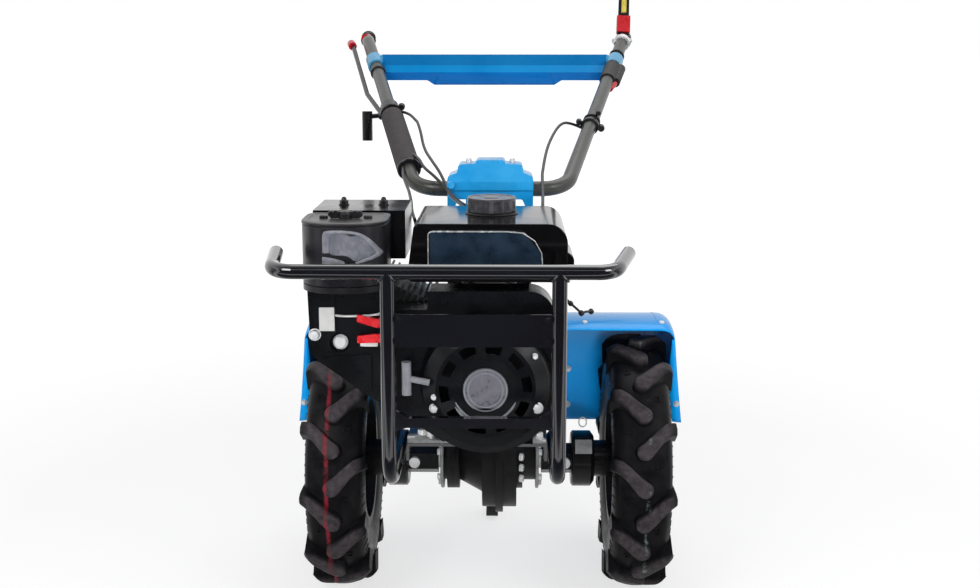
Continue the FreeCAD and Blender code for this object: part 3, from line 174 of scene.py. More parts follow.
machine = (0, 0, 0.45)
lamp("key_lamp", "AREA", (-1.5, -2.6, 2.3), machine, 32, True, size=1.2)
lamp("side_lamp", "AREA", (1.9, -2.3, 2.0), machine, 22, True, size=1.0)
lamp("fill_lamp", "AREA", (0.1, -3.1, 0.75), machine, 36, False, size=1.3)
lamp("top_lamp", "AREA", (0.4, 0.6, 3.0), machine, 24, True, size=2.0)
for name, x in (("low_lamp_left", 0.16), ("low_lamp_right", -0.24)):
    lamp(name, "SPOT", (x, axle.y - 2.9, 0.62), (x * 0.9, axle.y + 0.2, 0.42), 360, False,
         spot_size=radians(7), spot_blend=0.8, shadow_soft_size=0.25)
scene.view_settings.view_transform = "Standard"


# Mudguards: two pressings in bright blue powder coat, each a curved top with a skirt down its outer side, on a
# bracket from the gear case. The sheet is 2 mm steel, rounded over at the corner and turned down along its inner
# edge; the skirt leans outwards.
def surface(name, shade, worn, rough, metallic=0.0, patch=0.02, grain=0.0012, relief=0.00003, edge=0.001, shine=0.5):
    """A material that drifts in patches from shade to worn and from one roughness of the pair rough to the other.

    Its skin has a grain of that relief, and edges look rounded by edge, all in metres; shine is its reflection.
    """
    material = bpy.data.materials.new(name)
    material.use_nodes = True
    tree = material.node_tree
    base = tree.nodes["Principled BSDF"]
    base.inputs["Metallic"].default_value = metallic
    base.inputs["Specular IOR Level"].default_value = shine
    place = add(tree, "TexCoord").outputs["Object"]
    drift = add(tree, "TexNoise", Vector=place, Scale=1 / patch, Detail=5.0, Roughness=0.62).outputs[0]
    tint = add(tree, "ValToRGB", Fac=drift)
    for element, position, colour in zip(tint.color_ramp.elements, (0.36, 0.68), (shade, worn)):
        element.position = position
        element.color = linear(colour)
    tree.links.new(tint.outputs[0], base.inputs["Base Color"])
    tree.links.new(ramp(tree, drift, 0.35, 0.65, *rough), base.inputs["Roughness"])
    peel = add(tree, "TexNoise", Vector=place, Scale=1 / grain, Detail=3.0).outputs[0]
    bump = add(tree, "Bump", Height=peel, Distance=relief, Strength=1.0)
    if edge:
        tree.links.new(add(tree, "Bevel", {"samples": 4}, Radius=edge).outputs[0], bump.inputs["Normal"])
    tree.links.new(bump.outputs[0], base.inputs["Normal"])
    return material


def dress(material, *names):
    """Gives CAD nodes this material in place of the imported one."""
    for name in names:
        nodes[name].data.materials.clear()
        nodes[name].data.materials.append(material)


UP = (0, 0, 1)
FORWARD = (0, -1, 0)


def turned(form, profile, foot, way, sides=28):
    """Adds a turned form to a bmesh: (radius, height) pairs about a line from foot along way."""
    lean = Vector(UP).rotation_difference(Vector(way).normalized()).to_matrix()
    rings = []
    for radius, height in profile:
        count = sides if radius else 1
        angles = [2 * pi * i / sides for i in range(count)]
        spots = [Vector((radius * cos(a), radius * sin(a), height)) for a in angles]
        rings.append([form.verts.new(Vector(foot) + lean @ spot) for spot in spots])
    for lower, upper in zip(rings, rings[1:]):
        for i in range(sides):
            j = (i + 1) % sides
            corners = [lower[i % len(lower)], lower[j % len(lower)], upper[j % len(upper)], upper[i % len(upper)]]
            form.faces.new(list(dict.fromkeys(corners)))


def lofted(form, rows, closed=True, capped=False, endless=False):
    """Adds a skin over rows of points to a bmesh, and returns the rows of its vertices.

    closed joins each row's two ends, capped fills the first and last row, endless joins the last to the first.
    """
    rings = [[form.verts.new(point) for point in row] for row in rows]
    for near, far in zip(rings, rings[1:] + rings[:1] if endless else rings[1:]):
        for k in range(len(near) if closed else len(near) - 1):
            j = (k + 1) % len(near)
            form.faces.new((near[k], near[j], far[j], far[k]))
    if capped:
        form.faces.new(rings[0])
        form.faces.new(rings[-1])
    return rings


def built(name, form, material, body, crease=35):
    """Shows a bmesh as one piece, smooth except where it turns by more than crease degrees."""
    bmesh.ops.recalc_face_normals(form, faces=form.faces)
    mesh = bpy.data.meshes.new(name)
    form.to_mesh(mesh)
    form.free()
    mesh.shade_smooth()
    mesh.set_sharp_from_angle(angle=radians(crease))
    return show(name, mesh, material, body)


def bolt(form, place, way, across, tall):
    """Adds a washer and a hexagon head with a chamfered top; across is over its flats."""
    corner = across / sqrt(3)
    washer = across * 0.72
    turned(form, [(0, 0), (washer, 0), (washer, 0.0012), (corner, 0.0012)], place, way, 24)
    top = 0.0012 + tall
    turned(form, [(corner, 0.0012), (corner, top - tall * 0.2), (corner * 0.84, top), (0, top)], place, way, 6)


def about_axle(x, r, a):
    """The point at that x, r from the axle's line and a radians from straight up towards the rear."""
    return (x, axle.y + r * sin(a), axle.z + r * cos(a))


blue_powder_coat = surface(
    "blue_powder_coat", "0692e0", "0a9cea", (0.16, 0.24), patch=0.15, grain=0.004, edge=0.0012, shine=0.3)
bright_zinc_plate = surface(
    "bright_zinc_plate", "cdcfd1", "eaeaea", (0.4, 0.55), metallic=0.45, patch=0.012, grain=0.001, relief=0.00002,
    edge=0.0005)
dress(blue_powder_coat, "mudguard_stay_left", "mudguard_stay_right")
guard_low, guard_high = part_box("mudguard_left")
sheet_radius = guard_high.z - axle.z
inner_x = guard_low.x
outer_x = guard_high.x - 0.0005
top_x = outer_x - 0.0415
corner = 0.022
corner_r = sheet_radius - corner
skirt_drop = 0.158
foot_height = 0.0626
foot_slope = 0.127
edge_drop = 0.16
tyre_clear = 0.2922
top_start, skirt_start, sheet_end = -14, -4, 91


def skirt_foot(a):
    """The radius at which the skirt ends, for an angle from straight up: its lower edge falls to the rear."""
    reach = cos(a) + foot_slope * sin(a)
    return min(foot_height / reach, corner_r - 0.0005) if reach > 0.05 else corner_r - 0.0005


def edge_angle(r):
    """Where the front edge of the sheet lies at that radius: the top reaches further forward than the skirt."""
    return radians(top_start + (skirt_start - top_start) * min(1.0, (sheet_radius - r) / edge_drop))


def skirt_x(r):
    """How far out the skirt stands at that radius; it leans outwards towards its foot."""
    return top_x + corner + (outer_x - top_x - corner) * (corner_r - r) / skirt_drop


for name, side in (("mudguard_left", 1), ("mudguard_right", -1)):
    rows = []
    for i in range(73):
        share = (i / 72) ** 1.15
        foot = skirt_foot(radians(skirt_start + (sheet_end - skirt_start) * share))
        spots = [(inner_x, sheet_radius - 0.016), (inner_x, sheet_radius - 0.008), (inner_x, sheet_radius - 0.002),
                 (inner_x + 0.0025, sheet_radius)]
        spots += [(inner_x + (top_x - inner_x) * k / 6, sheet_radius) for k in range(1, 7)]
        for turn in (radians(15 * k) for k in range(1, 7)):
            spots.append((top_x + corner * sin(turn), corner_r + corner * cos(turn)))
        for r in (corner_r - (corner_r - foot) * k / 7 for k in range(1, 8)):
            spots.append((skirt_x(r), r))
        spots.append((skirt_x(foot) - 0.011, foot + 0.001))
        row = []
        for x, r in spots:
            start = edge_angle(r)
            a = start + (radians(sheet_end) - start) * share
            if r > corner_r:
                r -= 0.004 * max(0.0, 1 - share / 0.06) ** 2
            row.append(about_axle(side * x, r, a))
        rows.append(row)
    sheet = bmesh.new()
    lofted(sheet, rows, closed=False)
    guard = built("pressed_" + name, sheet, blue_powder_coat, "chassis", 50)
    metal = guard.modifiers.new("sheet_metal", "SOLIDIFY")
    metal.thickness = 0.002
    metal.offset = -1.0
    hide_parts(name)

# Seams, hems and bolts of the mudguards: a joggle along the top stiffens the sheet, and the front edge of each
# skirt is turned in. Plated bolts hold the bracket below and the top's front corner.
seams, hems, guard_bolts = bmesh.new(), bmesh.new(), bmesh.new()
for side in (1, -1):
    low_x, high_x = sorted((side * (guard_high.x - 0.049), side * (guard_high.x - 0.047)))
    low_r, high_r = sheet_radius - 0.003, sheet_radius + 0.0006
    lofted(seams, [[about_axle(x, r, radians(-8 + 97 * i / 48))
                    for x, r in ((low_x, low_r), (low_x, high_r), (high_x, high_r), (high_x, low_r))]
                   for i in range(49)], capped=True)
    rows = []
    for i in range(17):
        r = corner_r - 0.002 - (skirt_drop - 0.004) * i / 16
        x = skirt_x(r)
        wide = min(0.0155, x - tyre_clear)
        _, y, z = about_axle(x, r, edge_angle(r))
        rows.append([(side * (x - inward), y + behind, z) for inward, behind in
                     ((0.0004, 0.002), (0.0012, -0.0006), (0.35 * wide, -0.0016), (wide, -0.001))])
    lofted(hems, rows, closed=False)
    for x, angle, sunk, face, across, tall in (
            (guard_high.x - 0.041, -9, 0.0025, 1, 0.008, 0.003), (guard_low.x + 0.081, -9, 0.0025, 1, 0.008, 0.003),
            (guard_low.x + 0.066, 66, 0.0021, -1, 0.009, 0.005), (guard_low.x + 0.066, 84, 0.0021, -1, 0.009, 0.005)):
        way = Vector((0, sin(radians(angle)), cos(radians(angle))))
        bolt(guard_bolts, Vector((side * x, axle.y, axle.z)) + way * (sheet_radius - sunk), way * face, across, tall)
    bolt(guard_bolts, (side * 0.3065, axle.y - 0.0105, axle.z + 0.097), FORWARD, 0.007, 0.004)
built("mudguard_seams", seams, blue_powder_coat, "chassis")
hem = built("mudguard_hems", hems, blue_powder_coat, "chassis", 60)
hem.modifiers.new("sheet_metal", "SOLIDIFY").thickness = 0.0012
built("mudguard_bolts", guard_bolts, bright_zinc_plate, "chassis")

# Turntable head and clamp cover under the bars: folded steel in the same blue, drifting in patches to a paler blue.
# Two cap screws hold the cover down and a small knob locks the turn.
blue_folded_plate = surface(
    "blue_folded_plate", "0b8fd4", "2b9edb", (0.16, 0.26), patch=0.05, grain=0.004, edge=0.0015)
dress(blue_folded_plate, "clamp_cover", "swivel_head", "hitch_bracket")
cover_low, cover_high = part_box("clamp_cover")
cover_screws = bmesh.new()
for x in (-0.036, 0.036):
    for y in (cover_low.y + 0.034, cover_high.y - 0.012):
        bolt(cover_screws, (x, y, cover_high.z - 0.0072), UP, 0.008, 0.005)
built("cover_screws", cover_screws, bright_zinc_plate, "swivel")
lock_knob = bmesh.new()
turned(lock_knob, [(0, 0), (0.0055, 0), (0.0055, 0.004), (0.0075, 0.006), (0.0078, 0.011), (0.006, 0.014), (0, 0.015)],
       (cover_low.x + 0.007, cover_low.y, cover_low.z + 0.008), (0, -1, 0.15), 20)
built("turn_lock_knob", lock_knob, blue_folded_plate, "swivel")

# Gear case, clutch bell and turntable: grey iron castings under satin black, so the sand of the mould still shows
# as a fine pebble. A row of plated bolts closes the seam flange and each bearing cover.
dress(surface("painted_iron_casting", "0d0d0f", "151517", (0.3, 0.5), patch=0.05, grain=0.003, relief=0.00025,
              edge=0.0015),
      "gear_case", "clutch_housing", "turntable_base", "shift_tower", "drag_stake", "tank_brackets",
      "bearing_cover_left", "bearing_cover_right")
covers = ((1, *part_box("bearing_cover_left")), (-1, *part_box("bearing_cover_right")))
case_bolts = bmesh.new()
for side, low, high in covers:
    face_x = high.x if side > 0 else low.x
    middle = (low + high) / 2
    for i in range(6):
        angle = radians(60 * i + 30)
        reach = (high.z - low.z) / 2 - 0.008
        spot = (face_x - side * 0.0002, middle.y + reach * cos(angle), middle.z + reach * sin(angle))
        bolt(case_bolts, spot, (side, 0, 0), 0.01, 0.005)
case_low, case_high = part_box("gear_case")
for side in (1, -1):
    for z in (0.165, 0.255, 0.33, 0.42, 0.5):
        bolt(case_bolts, (side * 0.024, case_low.y + 0.0275, case_low.z + z), FORWARD, 0.01, 0.005)
bell_low, bell_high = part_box("clutch_housing")
bell_centre = (bell_low + bell_high) / 2
for i in range(8):
    angle = radians(45 * i + 22.5)
    reach = (bell_high.x - bell_low.x) / 2 - 0.001
    spot = Vector((reach * cos(angle), bell_high.y - 0.012, bell_centre.z + reach * sin(angle)))
    bolt(case_bolts, spot, (cos(angle), 0, sin(angle)), 0.009, 0.004)
for z in (-0.012, 0.006, 0.024):
    turned(case_bolts, [(0, 0), (0.0062, 0), (0.0062, 0.004), (0.005, 0.006), (0, 0.006)],
           (case_high.x - 0.0165, axle.y - 0.07, axle.z + z), (1, -0.3, 0), 20)
built("case_bolts", case_bolts, bright_zinc_plate, "chassis")

# Machined faces left bare in tumbled aluminium: the turned lip of each bearing cover, and the engine's two cast
# feet, which stand on the bed.
tumbled_aluminium = surface(
    "tumbled_aluminium_casting", "8b8c8e", "b4b5b6", (0.3, 0.42), metallic=0.7, grain=0.002, relief=0.0002)
bare_faces = bmesh.new()
for side, low, high in covers:
    face_x = high.x if side > 0 else low.x
    turned(bare_faces, [(0.03, 0), (0.0495, 0), (0.0502, 0.0008), (0.0502, 0.0042), (0.0495, 0.005), (0.03, 0.005)],
           (face_x - side * 0.0045, axle.y, axle.z), (side, 0, 0), 64)
bed_low, bed_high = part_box("engine_bed")
foot_section = ((0.001, 0.0), (0.001, 0.7), (0.003, 0.95), (0.012, 1.0), (0.016, 0.9), (0.017, 0.0))
for x0, x1 in ((bed_low.x + 0.002, bed_low.x + 0.064), (bed_high.x - 0.021, bed_high.x - 0.002)):
    rows = []
    for i in range(13):
        lift = 0.01 + 0.002 * sin(7.0 * i / 12) - 0.007 * (i / 12) ** 3
        rows.append([(x0 + (x1 - x0) * i / 12, bed_low.y + y, bed_high.z + z * lift) for y, z in foot_section])
    lofted(bare_faces, rows, capped=True)
built("machined_faces", bare_faces, tumbled_aluminium, "chassis")

# Engine bed and guard: plate and bent tube under a deep gloss black, which mirrors the room in long bright lines.
# The legs are welded under the bar; each weld is a rippled ring of bead that the paint has run over.
black_gloss_coat = surface(
    "black_gloss_powder_coat", "08080d", "0c0d14", (0.08, 0.14), patch=0.1, grain=0.006, relief=0.00002, edge=0.0008)
gloss = black_gloss_coat.node_tree.nodes["Principled BSDF"]
for setting, value in (("IOR", 1.6), ("Coat Weight", 1.0), ("Coat IOR", 1.55), ("Coat Roughness", 0.06)):
    gloss.inputs[setting].default_value = value
dress(black_gloss_coat, "front_guard", "guard_plate", "engine_bed")


def wire(name, points, radius, material, body, closed=False):
    """Shows a round wire along a smooth line, which is held at its two ends unless it is closed."""
    line = bpy.data.curves.new(name, "CURVE")
    line.dimensions = "3D"
    spline = line.splines.new("NURBS")
    spline.points.add(len(points) - 1)
    for knot, point in zip(spline.points, points):
        knot.co = (*point, 1)
    spline.order_u = 3
    spline.use_cyclic_u = closed
    spline.use_endpoint_u = not closed
    line.resolution_u = 6
    line.bevel_depth = radius
    line.bevel_resolution = 3
    line.use_fill_caps = True
    holder = bpy.data.objects.new(name, line)
    scene.collection.objects.link(holder)
    mesh = bpy.data.meshes.new_from_object(holder.evaluated_get(bpy.context.evaluated_depsgraph_get()))
    bpy.data.objects.remove(holder)
    return show(name, mesh, material, body)


plate_low, plate_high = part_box("guard_plate")
guard_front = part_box("front_guard")[0].y
tube_y = plate_high.y + 0.002
tube_r = 0.01
bar_z = plate_high.z + 0.055
leg_gap = 0.0087
bead_r = 0.0021
rng = random.Random(4)
for name, leg_x in (("weld_at_right_leg", plate_low.x - leg_gap), ("weld_at_left_leg", plate_high.x + leg_gap)):
    bead = []
    for i in range(40):
        t = 2 * pi * i / 40
        ripple = 0.0004 * (i % 2) + rng.uniform(-0.0002, 0.0002)
        reach = tube_r + 0.0006 + ripple
        bead.append((leg_x + reach * cos(t), max(tube_y + reach * sin(t), guard_front + 0.0024),
                     bar_z - (tube_r + 0.001) * abs(cos(t)) - 0.0004))
    wire(name, bead, bead_r, black_gloss_coat, "chassis", closed=True)
plate_screws = bmesh.new()
for x in (plate_low.x + 0.006, plate_high.x - 0.006):
    for z in (plate_low.z + 0.007, plate_high.z - 0.007):
        bolt(plate_screws, (x, plate_low.y, z), FORWARD, 0.006, 0.0025)
built("guard_plate_screws", plate_screws, black_gloss_coat, "chassis")
bed_bolts = bmesh.new()
for x, tall in ((bed_low.x + 0.022, 0.011), (bed_low.x + 0.034, 0.015), (bed_high.x - 0.012, 0.008)):
    bolt(bed_bolts, (x, bed_low.y + 0.009, bed_high.z + 0.006), UP, 0.01, tall)
built("bed_bolts", bed_bolts, bright_zinc_plate, "chassis")

# Engine: the crankcase and rocker cover are aluminium in heat-proof black; the barrel and head are bare metal
# gone a greenish grey. The fan cowl and starter are pressed steel, dipped in a half-gloss black.
dress(surface("satin_engine_enamel", "0e0f11", "15161a", (0.28, 0.42), patch=0.08, grain=0.002, relief=0.00008),
      "crankcase", "valve_cover")
cowl_enamel = surface("half_gloss_cowl_enamel", "08090b", "0e0f13", (0.2, 0.34), patch=0.07, grain=0.003, shine=0.3)
dress(cowl_enamel, "fan_shroud", "recoil_cover")
dress(surface("bare_aluminium_casting", "566060", "808a89", (0.4, 0.6), metallic=0.85, patch=0.012, grain=0.0015,
              relief=0.00015, edge=0.0006), "cylinder", "cylinder_head", "carburettor")
cowl_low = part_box("fan_shroud")[0]
recoil_low, recoil_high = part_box("recoil_cover")
crank = (recoil_low + recoil_high) / 2
skins = []
for name in ("fan_shroud", "recoil_cover"):
    mesh = nodes[name].data
    skins.append(BVHTree.FromPolygons([v.co for v in mesh.vertices], [f.vertices for f in mesh.polygons]))


def on_cowl(x, z):
    """The point on the front of the cowl or starter cover at x and z from the crankshaft's line."""
    x += crank.x
    z += crank.z
    hits = [skin.ray_cast(Vector((x, -3, z)), Vector((0, 1, 0)))[0] for skin in skins]
    return (x, min(hit.y for hit in hits if hit), z)


cowl_bolts = bmesh.new()
for x, z, across in (
        (-0.0705, -0.0285, 0.009), (0.0705, -0.0275, 0.011), (0.0665, 0.044, 0.006), (-0.07, -0.012, 0.006)):
    bolt(cowl_bolts, on_cowl(x, z), FORWARD, across, 0.004)
bolt(cowl_bolts, (cowl_low.x + 0.0095, cowl_low.y, crank.z + 0.066), FORWARD, 0.012, 0.006)
turned(cowl_bolts, [(0, 0), (0.0105, 0), (0.0105, 0.002), (0.0088, 0.0034), (0.0088, 0.007), (0.0065, 0.009),
                    (0, 0.009)], (crank.x - 0.201, cowl_low.y + 0.0098, crank.z + 0.054), FORWARD)
built("cowl_bolts", cowl_bolts, bright_zinc_plate, "chassis")
cowl_screws = bmesh.new()
for x in (-0.058, -0.011, 0.005, 0.05):
    bolt(cowl_screws, on_cowl(x, 0.112), FORWARD, 0.006, 0.003)
built("cowl_screws", cowl_screws, cowl_enamel, "chassis")

# Governor rod: plain drawn and plated wire, cranked at both ends, which hooks the speed lever to the carburettor's
# arm.
rod_start = Vector((cowl_low.x + 0.038, cowl_low.y - 0.002, crank.z + 0.093))
governor_run = [rod_start + Vector(step) for step in (
    (0, 0.006, 0), (0, 0, 0), (0.02, 0, -0.001), (0.052, -0.001, 0.001), (0.062, -0.001, 0.003), (0.062, 0.006, 0.003))]
wire("governor_rod", governor_run, 0.0016, bright_zinc_plate, "chassis")

# Sticker on the cowl's edge: white vinyl with a satin face and rounded corners, left blank. It is stuck flat on the
# painted steel.
white_vinyl = surface(
    "white_vinyl_film", "b9b9b8", "b0b0ae", (0.42, 0.55), patch=0.01, grain=0.001, relief=0.00001, edge=0.0)


def card(name, low, high, thick, corner):
    """A thin white plate with rounded corners that faces forward between two corners."""
    middle = (Vector(low) + Vector(high)) / 2
    span = Vector(high) - Vector(low)
    rim = []
    for sx, sz, turn in ((1, 1, 0), (-1, 1, 90), (-1, -1, 180), (1, -1, 270)):
        for angle in (radians(turn + 22.5 * step) for step in range(5)):
            rim.append(Vector((middle.x + (sx * (span.x / 2 - corner) + corner * cos(angle)), middle.y,
                               middle.z + (sz * (span.z / 2 - corner) + corner * sin(angle)))))
    lift = Vector(FORWARD) * thick
    form = bmesh.new()
    lofted(form, [rim, [spot + lift * 0.7 for spot in rim],
                  [middle + (spot - middle) * (1 - thick / span.length) + lift for spot in rim]], capped=True)
    built(name, form, white_vinyl, "chassis", 50)


sticker_y = cowl_low.y - 0.0001
card("blank_cowl_sticker", (cowl_low.x + 0.016, sticker_y, crank.z + 0.071),
     (cowl_low.x + 0.037, sticker_y, crank.z + 0.104), 0.0005, 0.0012)

# Starter badge and handle: a moulded disc with a raised, paler rim and a plain middle, pressed into the starter
# cover between three raised arcs, which are painted pale as painted glints, and the pull cord's pale grey toggle.
dress(surface("moulded_badge", "4c4b52", "5d5c64", (0.26, 0.36), patch=0.012, grain=0.0008, relief=0.00002,
              edge=0.0006), "recoil_badge")
pale_moulding = surface("pale_grey_moulding", "67696f", "7b7d82", (0.3, 0.42), grain=0.0008, edge=0.0006)
dress(pale_moulding, "recoil_handle")
badge_low, badge_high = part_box("recoil_badge")
badge_rim_and_painted_glints = bmesh.new()
for radius, proud in ((0.0288, 0.0012), (0.0236, 0.0004)):
    turned(badge_rim_and_painted_glints, [(radius - 0.0009, -0.0005), (radius - 0.0006, proud), (radius + 0.0006, proud),
                       (radius + 0.0009, -0.0005)], (crank.x, badge_low.y, crank.z), FORWARD, 64)
# The three arcs are painted glints: pale strips where a ring round the badge catches the light.
for radius, start, end in ((0.044, 203, 247), (0.044, 293, 337), (0.0475, 210, 238)):
    rows = []
    for i in range(15):
        a = radians(start + (end - start) * i / 14)
        thin = 0.0013 * sin(pi * (i + 0.5) / 15) + 0.0003
        rows.append([(crank.x + r * cos(a), badge_high.y - lift, crank.z + r * sin(a)) for r, lift in
                     ((radius - thin, 0.0001), (radius - thin, 0.001), (radius + thin, 0.001),
                      (radius + thin, 0.0001))])
    lofted(badge_rim_and_painted_glints, rows)
built("badge_rim_and_painted_glints", badge_rim_and_painted_glints, pale_moulding, "chassis")

# Fuel tank: one blow-moulded shell in black, polished by its tool. Its front carries a panel of navy film inside a
# silver bead, whose paleness is partly a painted highlight for the bright lines reflected along the panel's edge.
dress(surface("black_blow_moulded_plastic", "050506", "08080a", (0.07, 0.13), patch=0.12, grain=0.014, relief=0.00005,
              edge=0.003), "fuel_tank")
navy_film = surface("navy_panel_film", "0e1a27", "1b2a39", (0.14, 0.22), patch=0.03, grain=0.01, edge=0.0)
silver_bead_painted_highlight = surface(
    "silver_bead_painted_highlight", "b9bcc0", "d6d8da", (0.2, 0.3), metallic=0.6, patch=0.01, grain=0.001, relief=0.00001, edge=0.0)
tank_low, tank_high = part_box("fuel_tank")
panel_left = tank_low.x + 0.029
panel_right = 0.0785
panel_foot = tank_low.z + 0.0075
panel_head = tank_high.z - 0.0105
outline = [(panel_left, panel_foot), (panel_right, panel_foot), (panel_right - 0.003, tank_low.z + 0.04),
           (panel_right - 0.012, panel_head - 0.013), (panel_right - 0.028, panel_head - 0.002),
           (panel_right - 0.05, panel_head), (panel_left, panel_head)]
film = bmesh.new()
film_y = tank_low.y + 0.0014
lofted(film, [[(x, y, z) for x, z in outline] for y in (film_y, film_y + 0.0005)], capped=True)
built("tank_panel_film", film, navy_film, "chassis")
# The bead's pale silver is partly a painted highlight along the panel's edge.
bead_run = [(x, tank_low.y + 0.0009, z) for x, z in outline[1:] + outline[:1]]
bead_line = [Vector(here).lerp(Vector(there), step / 6) for here, there in zip(bead_run, bead_run[1:])
             for step in range(6)] + [Vector(bead_run[-1])]
wire("tank_panel_bead", bead_line, 0.0011, silver_bead_painted_highlight, "chassis")

# Fuel cap and collar: the cap is a coarser moulding than the tank, in a grey that is partly a painted sheen on its
# ribs, with a rim and button painted pale as a painted highlight, and sits on a collar round the filler. Small
# mouldings in the same black follow.
black_moulding = surface(
    "black_injection_moulding", "101012", "1d1d20", (0.28, 0.42), grain=0.001, relief=0.00004, edge=0.0008)
dress(black_moulding, "oil_cap", "air_cleaner_base", "shift_knob")
dress(surface("polished_cap_moulding_painted_sheen", "303034", "4c4c50", (0.12, 0.22), patch=0.012, grain=0.001, edge=0.0008),
      "fuel_cap")
cap_low, cap_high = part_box("fuel_cap")
cap_middle = (cap_low + cap_high) / 2
cap_top = (cap_middle.x, cap_middle.y, cap_high.z)
cap_radius = (cap_high.x - cap_low.x) / 2
# The cap's rim and button are painted pale: a painted highlight on the top of the cap.
cap_rim = bmesh.new()
turned(cap_rim, [(cap_radius - 0.004, -0.0003), (cap_radius - 0.0035, 0.0009), (cap_radius - 0.0012, 0.0009),
                 (cap_radius - 0.0006, -0.0003)], cap_top, UP, 64)
turned(cap_rim, [(0.0, 0.0012), (0.011, 0.0012), (0.0125, -0.0003)], cap_top, UP, 40)
built("cap_rim", cap_rim, pale_moulding, "chassis")
filler_collar = bmesh.new()
turned(filler_collar, [(cap_radius - 0.004, 0), (cap_radius + 0.002, 0), (cap_radius + 0.003, 0.0012),
                       (cap_radius + 0.002, 0.0026), (cap_radius - 0.004, 0.003)],
       (cap_middle.x, cap_middle.y, tank_high.z - 0.0002), UP, 56)
built("filler_collar", filler_collar, black_moulding, "chassis")

# Air cleaner: a black moulded canister with a sunken swoosh of smoky grey, a lid whose top is painted paler as a
# painted reflection, and a wing nut between two ribs. The lid's faces and the swoosh take their own materials.
canister_plastic = surface(
    "black_textured_moulding", "151518", "1f1f24", (0.24, 0.36), patch=0.05, relief=0.00005, edge=0.0015)
smoky_plastic = surface("smoky_grey_moulding", "53555e", "74767f", (0.22, 0.34), patch=0.03)
pale_smoky_plastic = surface("pale_smoky_moulding", "63646c", "84858d", (0.2, 0.3))
painted_reflection_lid_plastic = surface("lid_moulding_painted_reflection", "2c2a2b", "413f40", (0.3, 0.42), patch=0.03, relief=0.00004, edge=0.0015)
air_low, air_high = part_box("air_cleaner_cover")
dress(black_moulding, "air_cleaner_knobs")
nut_low, nut_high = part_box("air_cleaner_knobs")
nut_middle = (nut_low + nut_high) / 2
wings = bmesh.new()
turned(wings, [(0, 0.004), (0.0075, 0.004), (0.0085, 0.006), (0.0075, 0.011), (0.004, 0.0125), (0, 0.0125)],
       (nut_middle.x, nut_middle.y, air_high.z), UP)
for side in (-1, 1):
    for spread, radius in ((0.013, 0.0048), (0.019, 0.0042)):
        turned(wings, [(0, -0.0032), (radius, -0.0026), (radius + 0.0006, 0), (radius, 0.0026), (0, 0.0032)],
               (nut_middle.x + side * spread, nut_middle.y, air_high.z + 0.0075), (0, 1, 0), 24)
    turned(wings, [(0, 0), (0.006, 0), (0.006, 0.0045), (0.0045, 0.006), (0, 0.006)],
           (nut_middle.x + side * 0.03, nut_middle.y + 0.004, air_high.z - 0.0002), UP, 24)
built("wing_nut_lobes", wings, black_moulding, "chassis")
nose = 0.05
heel = 0.012


def canister_ring(inset, z):
    """The canister's outline at one height: round front corners and small rear ones."""
    low = (air_low.x + inset, air_low.y + inset)
    high = (air_high.x - inset, air_high.y - inset)
    ring = []
    for x, y, turn, radius in ((low[0], low[1], 180, nose), (high[0], low[1], 270, nose), (high[0], high[1], 0, heel),
                               (low[0], high[1], 90, heel)):
        radius = max(radius - inset, 0.001)
        hub = (x + radius * (1 if x == low[0] else -1), y + radius * (1 if y == low[1] else -1))
        for a in (radians(turn + 90 * k / 14) for k in range(15)):
            ring.append((hub[0] + radius * cos(a), hub[1] + radius * sin(a), z))
    return ring


def front_strip(first, second, steps):
    """Rows of points on the canister's front, from one edge to another; steps are (share, proud) pairs.

    The edges are (x, z) points from the canister's lower corner, and proud is how far a row stands out.
    """
    rows = []
    for share, proud in steps:
        row = []
        for (ax, az), (bx, bz) in zip(first, second):
            x = air_low.x + ax + (bx - ax) * share
            reach = max(air_low.x + nose - x, x - (air_high.x - nose), 0.0)
            y = air_low.y + nose - sqrt(max(nose ** 2 - reach ** 2, 0.0)) - proud
            row.append((x, y, air_low.z + az + (bz - az) * share))
        rows.append(row)
    return rows


lid_top = air_high.z + 0.0022
layers = [(0.0016, air_low.z), (0, air_low.z + 0.0016), (0, lid_top - 0.0062), (0.0014, lid_top - 0.0056),
          (0.0014, lid_top - 0.0046), (-0.0006, lid_top - 0.004), (-0.0006, lid_top - 0.0016),
          (0.0002, lid_top - 0.0005), (0.0018, lid_top), (0.0085, lid_top), (0.0095, lid_top - 0.0008),
          (0.012, lid_top - 0.0008)]
shell = bmesh.new()
lofted(shell, [canister_ring(inset, z) for inset, z in layers], capped=True)
canister = built("air_cleaner_canister", shell, canister_plastic, "chassis", 30)
canister.data.materials.append(painted_reflection_lid_plastic)
# The lid's upward faces take the paler moulding: a painted reflection of the bright room above.
for face in canister.data.polygons:
    if face.center.z > lid_top - 0.003 and face.normal.z > 0.2:
        face.material_index = 1
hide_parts("air_cleaner_cover")

frame_outer = [(0.0325, 0.047), (0.0325, 0.062), (0.0328, 0.0725), (0.036, 0.0765), (0.044, 0.0777), (0.06, 0.0775),
               (0.079, 0.0765), (0.0895, 0.0705), (0.0985, 0.0625), (0.1055, 0.0535), (0.1115, 0.0455),
               (0.1115, 0.042), (0.105, 0.038), (0.092, 0.0345), (0.08, 0.032)]
frame_inner = [(0.043, 0.047), (0.043, 0.062), (0.0432, 0.0695), (0.0445, 0.0715), (0.05, 0.0727), (0.06, 0.0728),
               (0.0765, 0.072), (0.085, 0.0665), (0.093, 0.059), (0.099, 0.052), (0.103, 0.046),
               (0.102, 0.044), (0.096, 0.0415), (0.087, 0.0385), (0.076, 0.035)]
panel_lower = [(0.043, 0.0455), (0.049, 0.044), (0.056, 0.044), (0.063, 0.0438), (0.069, 0.042), (0.074, 0.037),
               (0.078, 0.0355), (0.086, 0.0385), (0.095, 0.0412), (0.103, 0.046)]
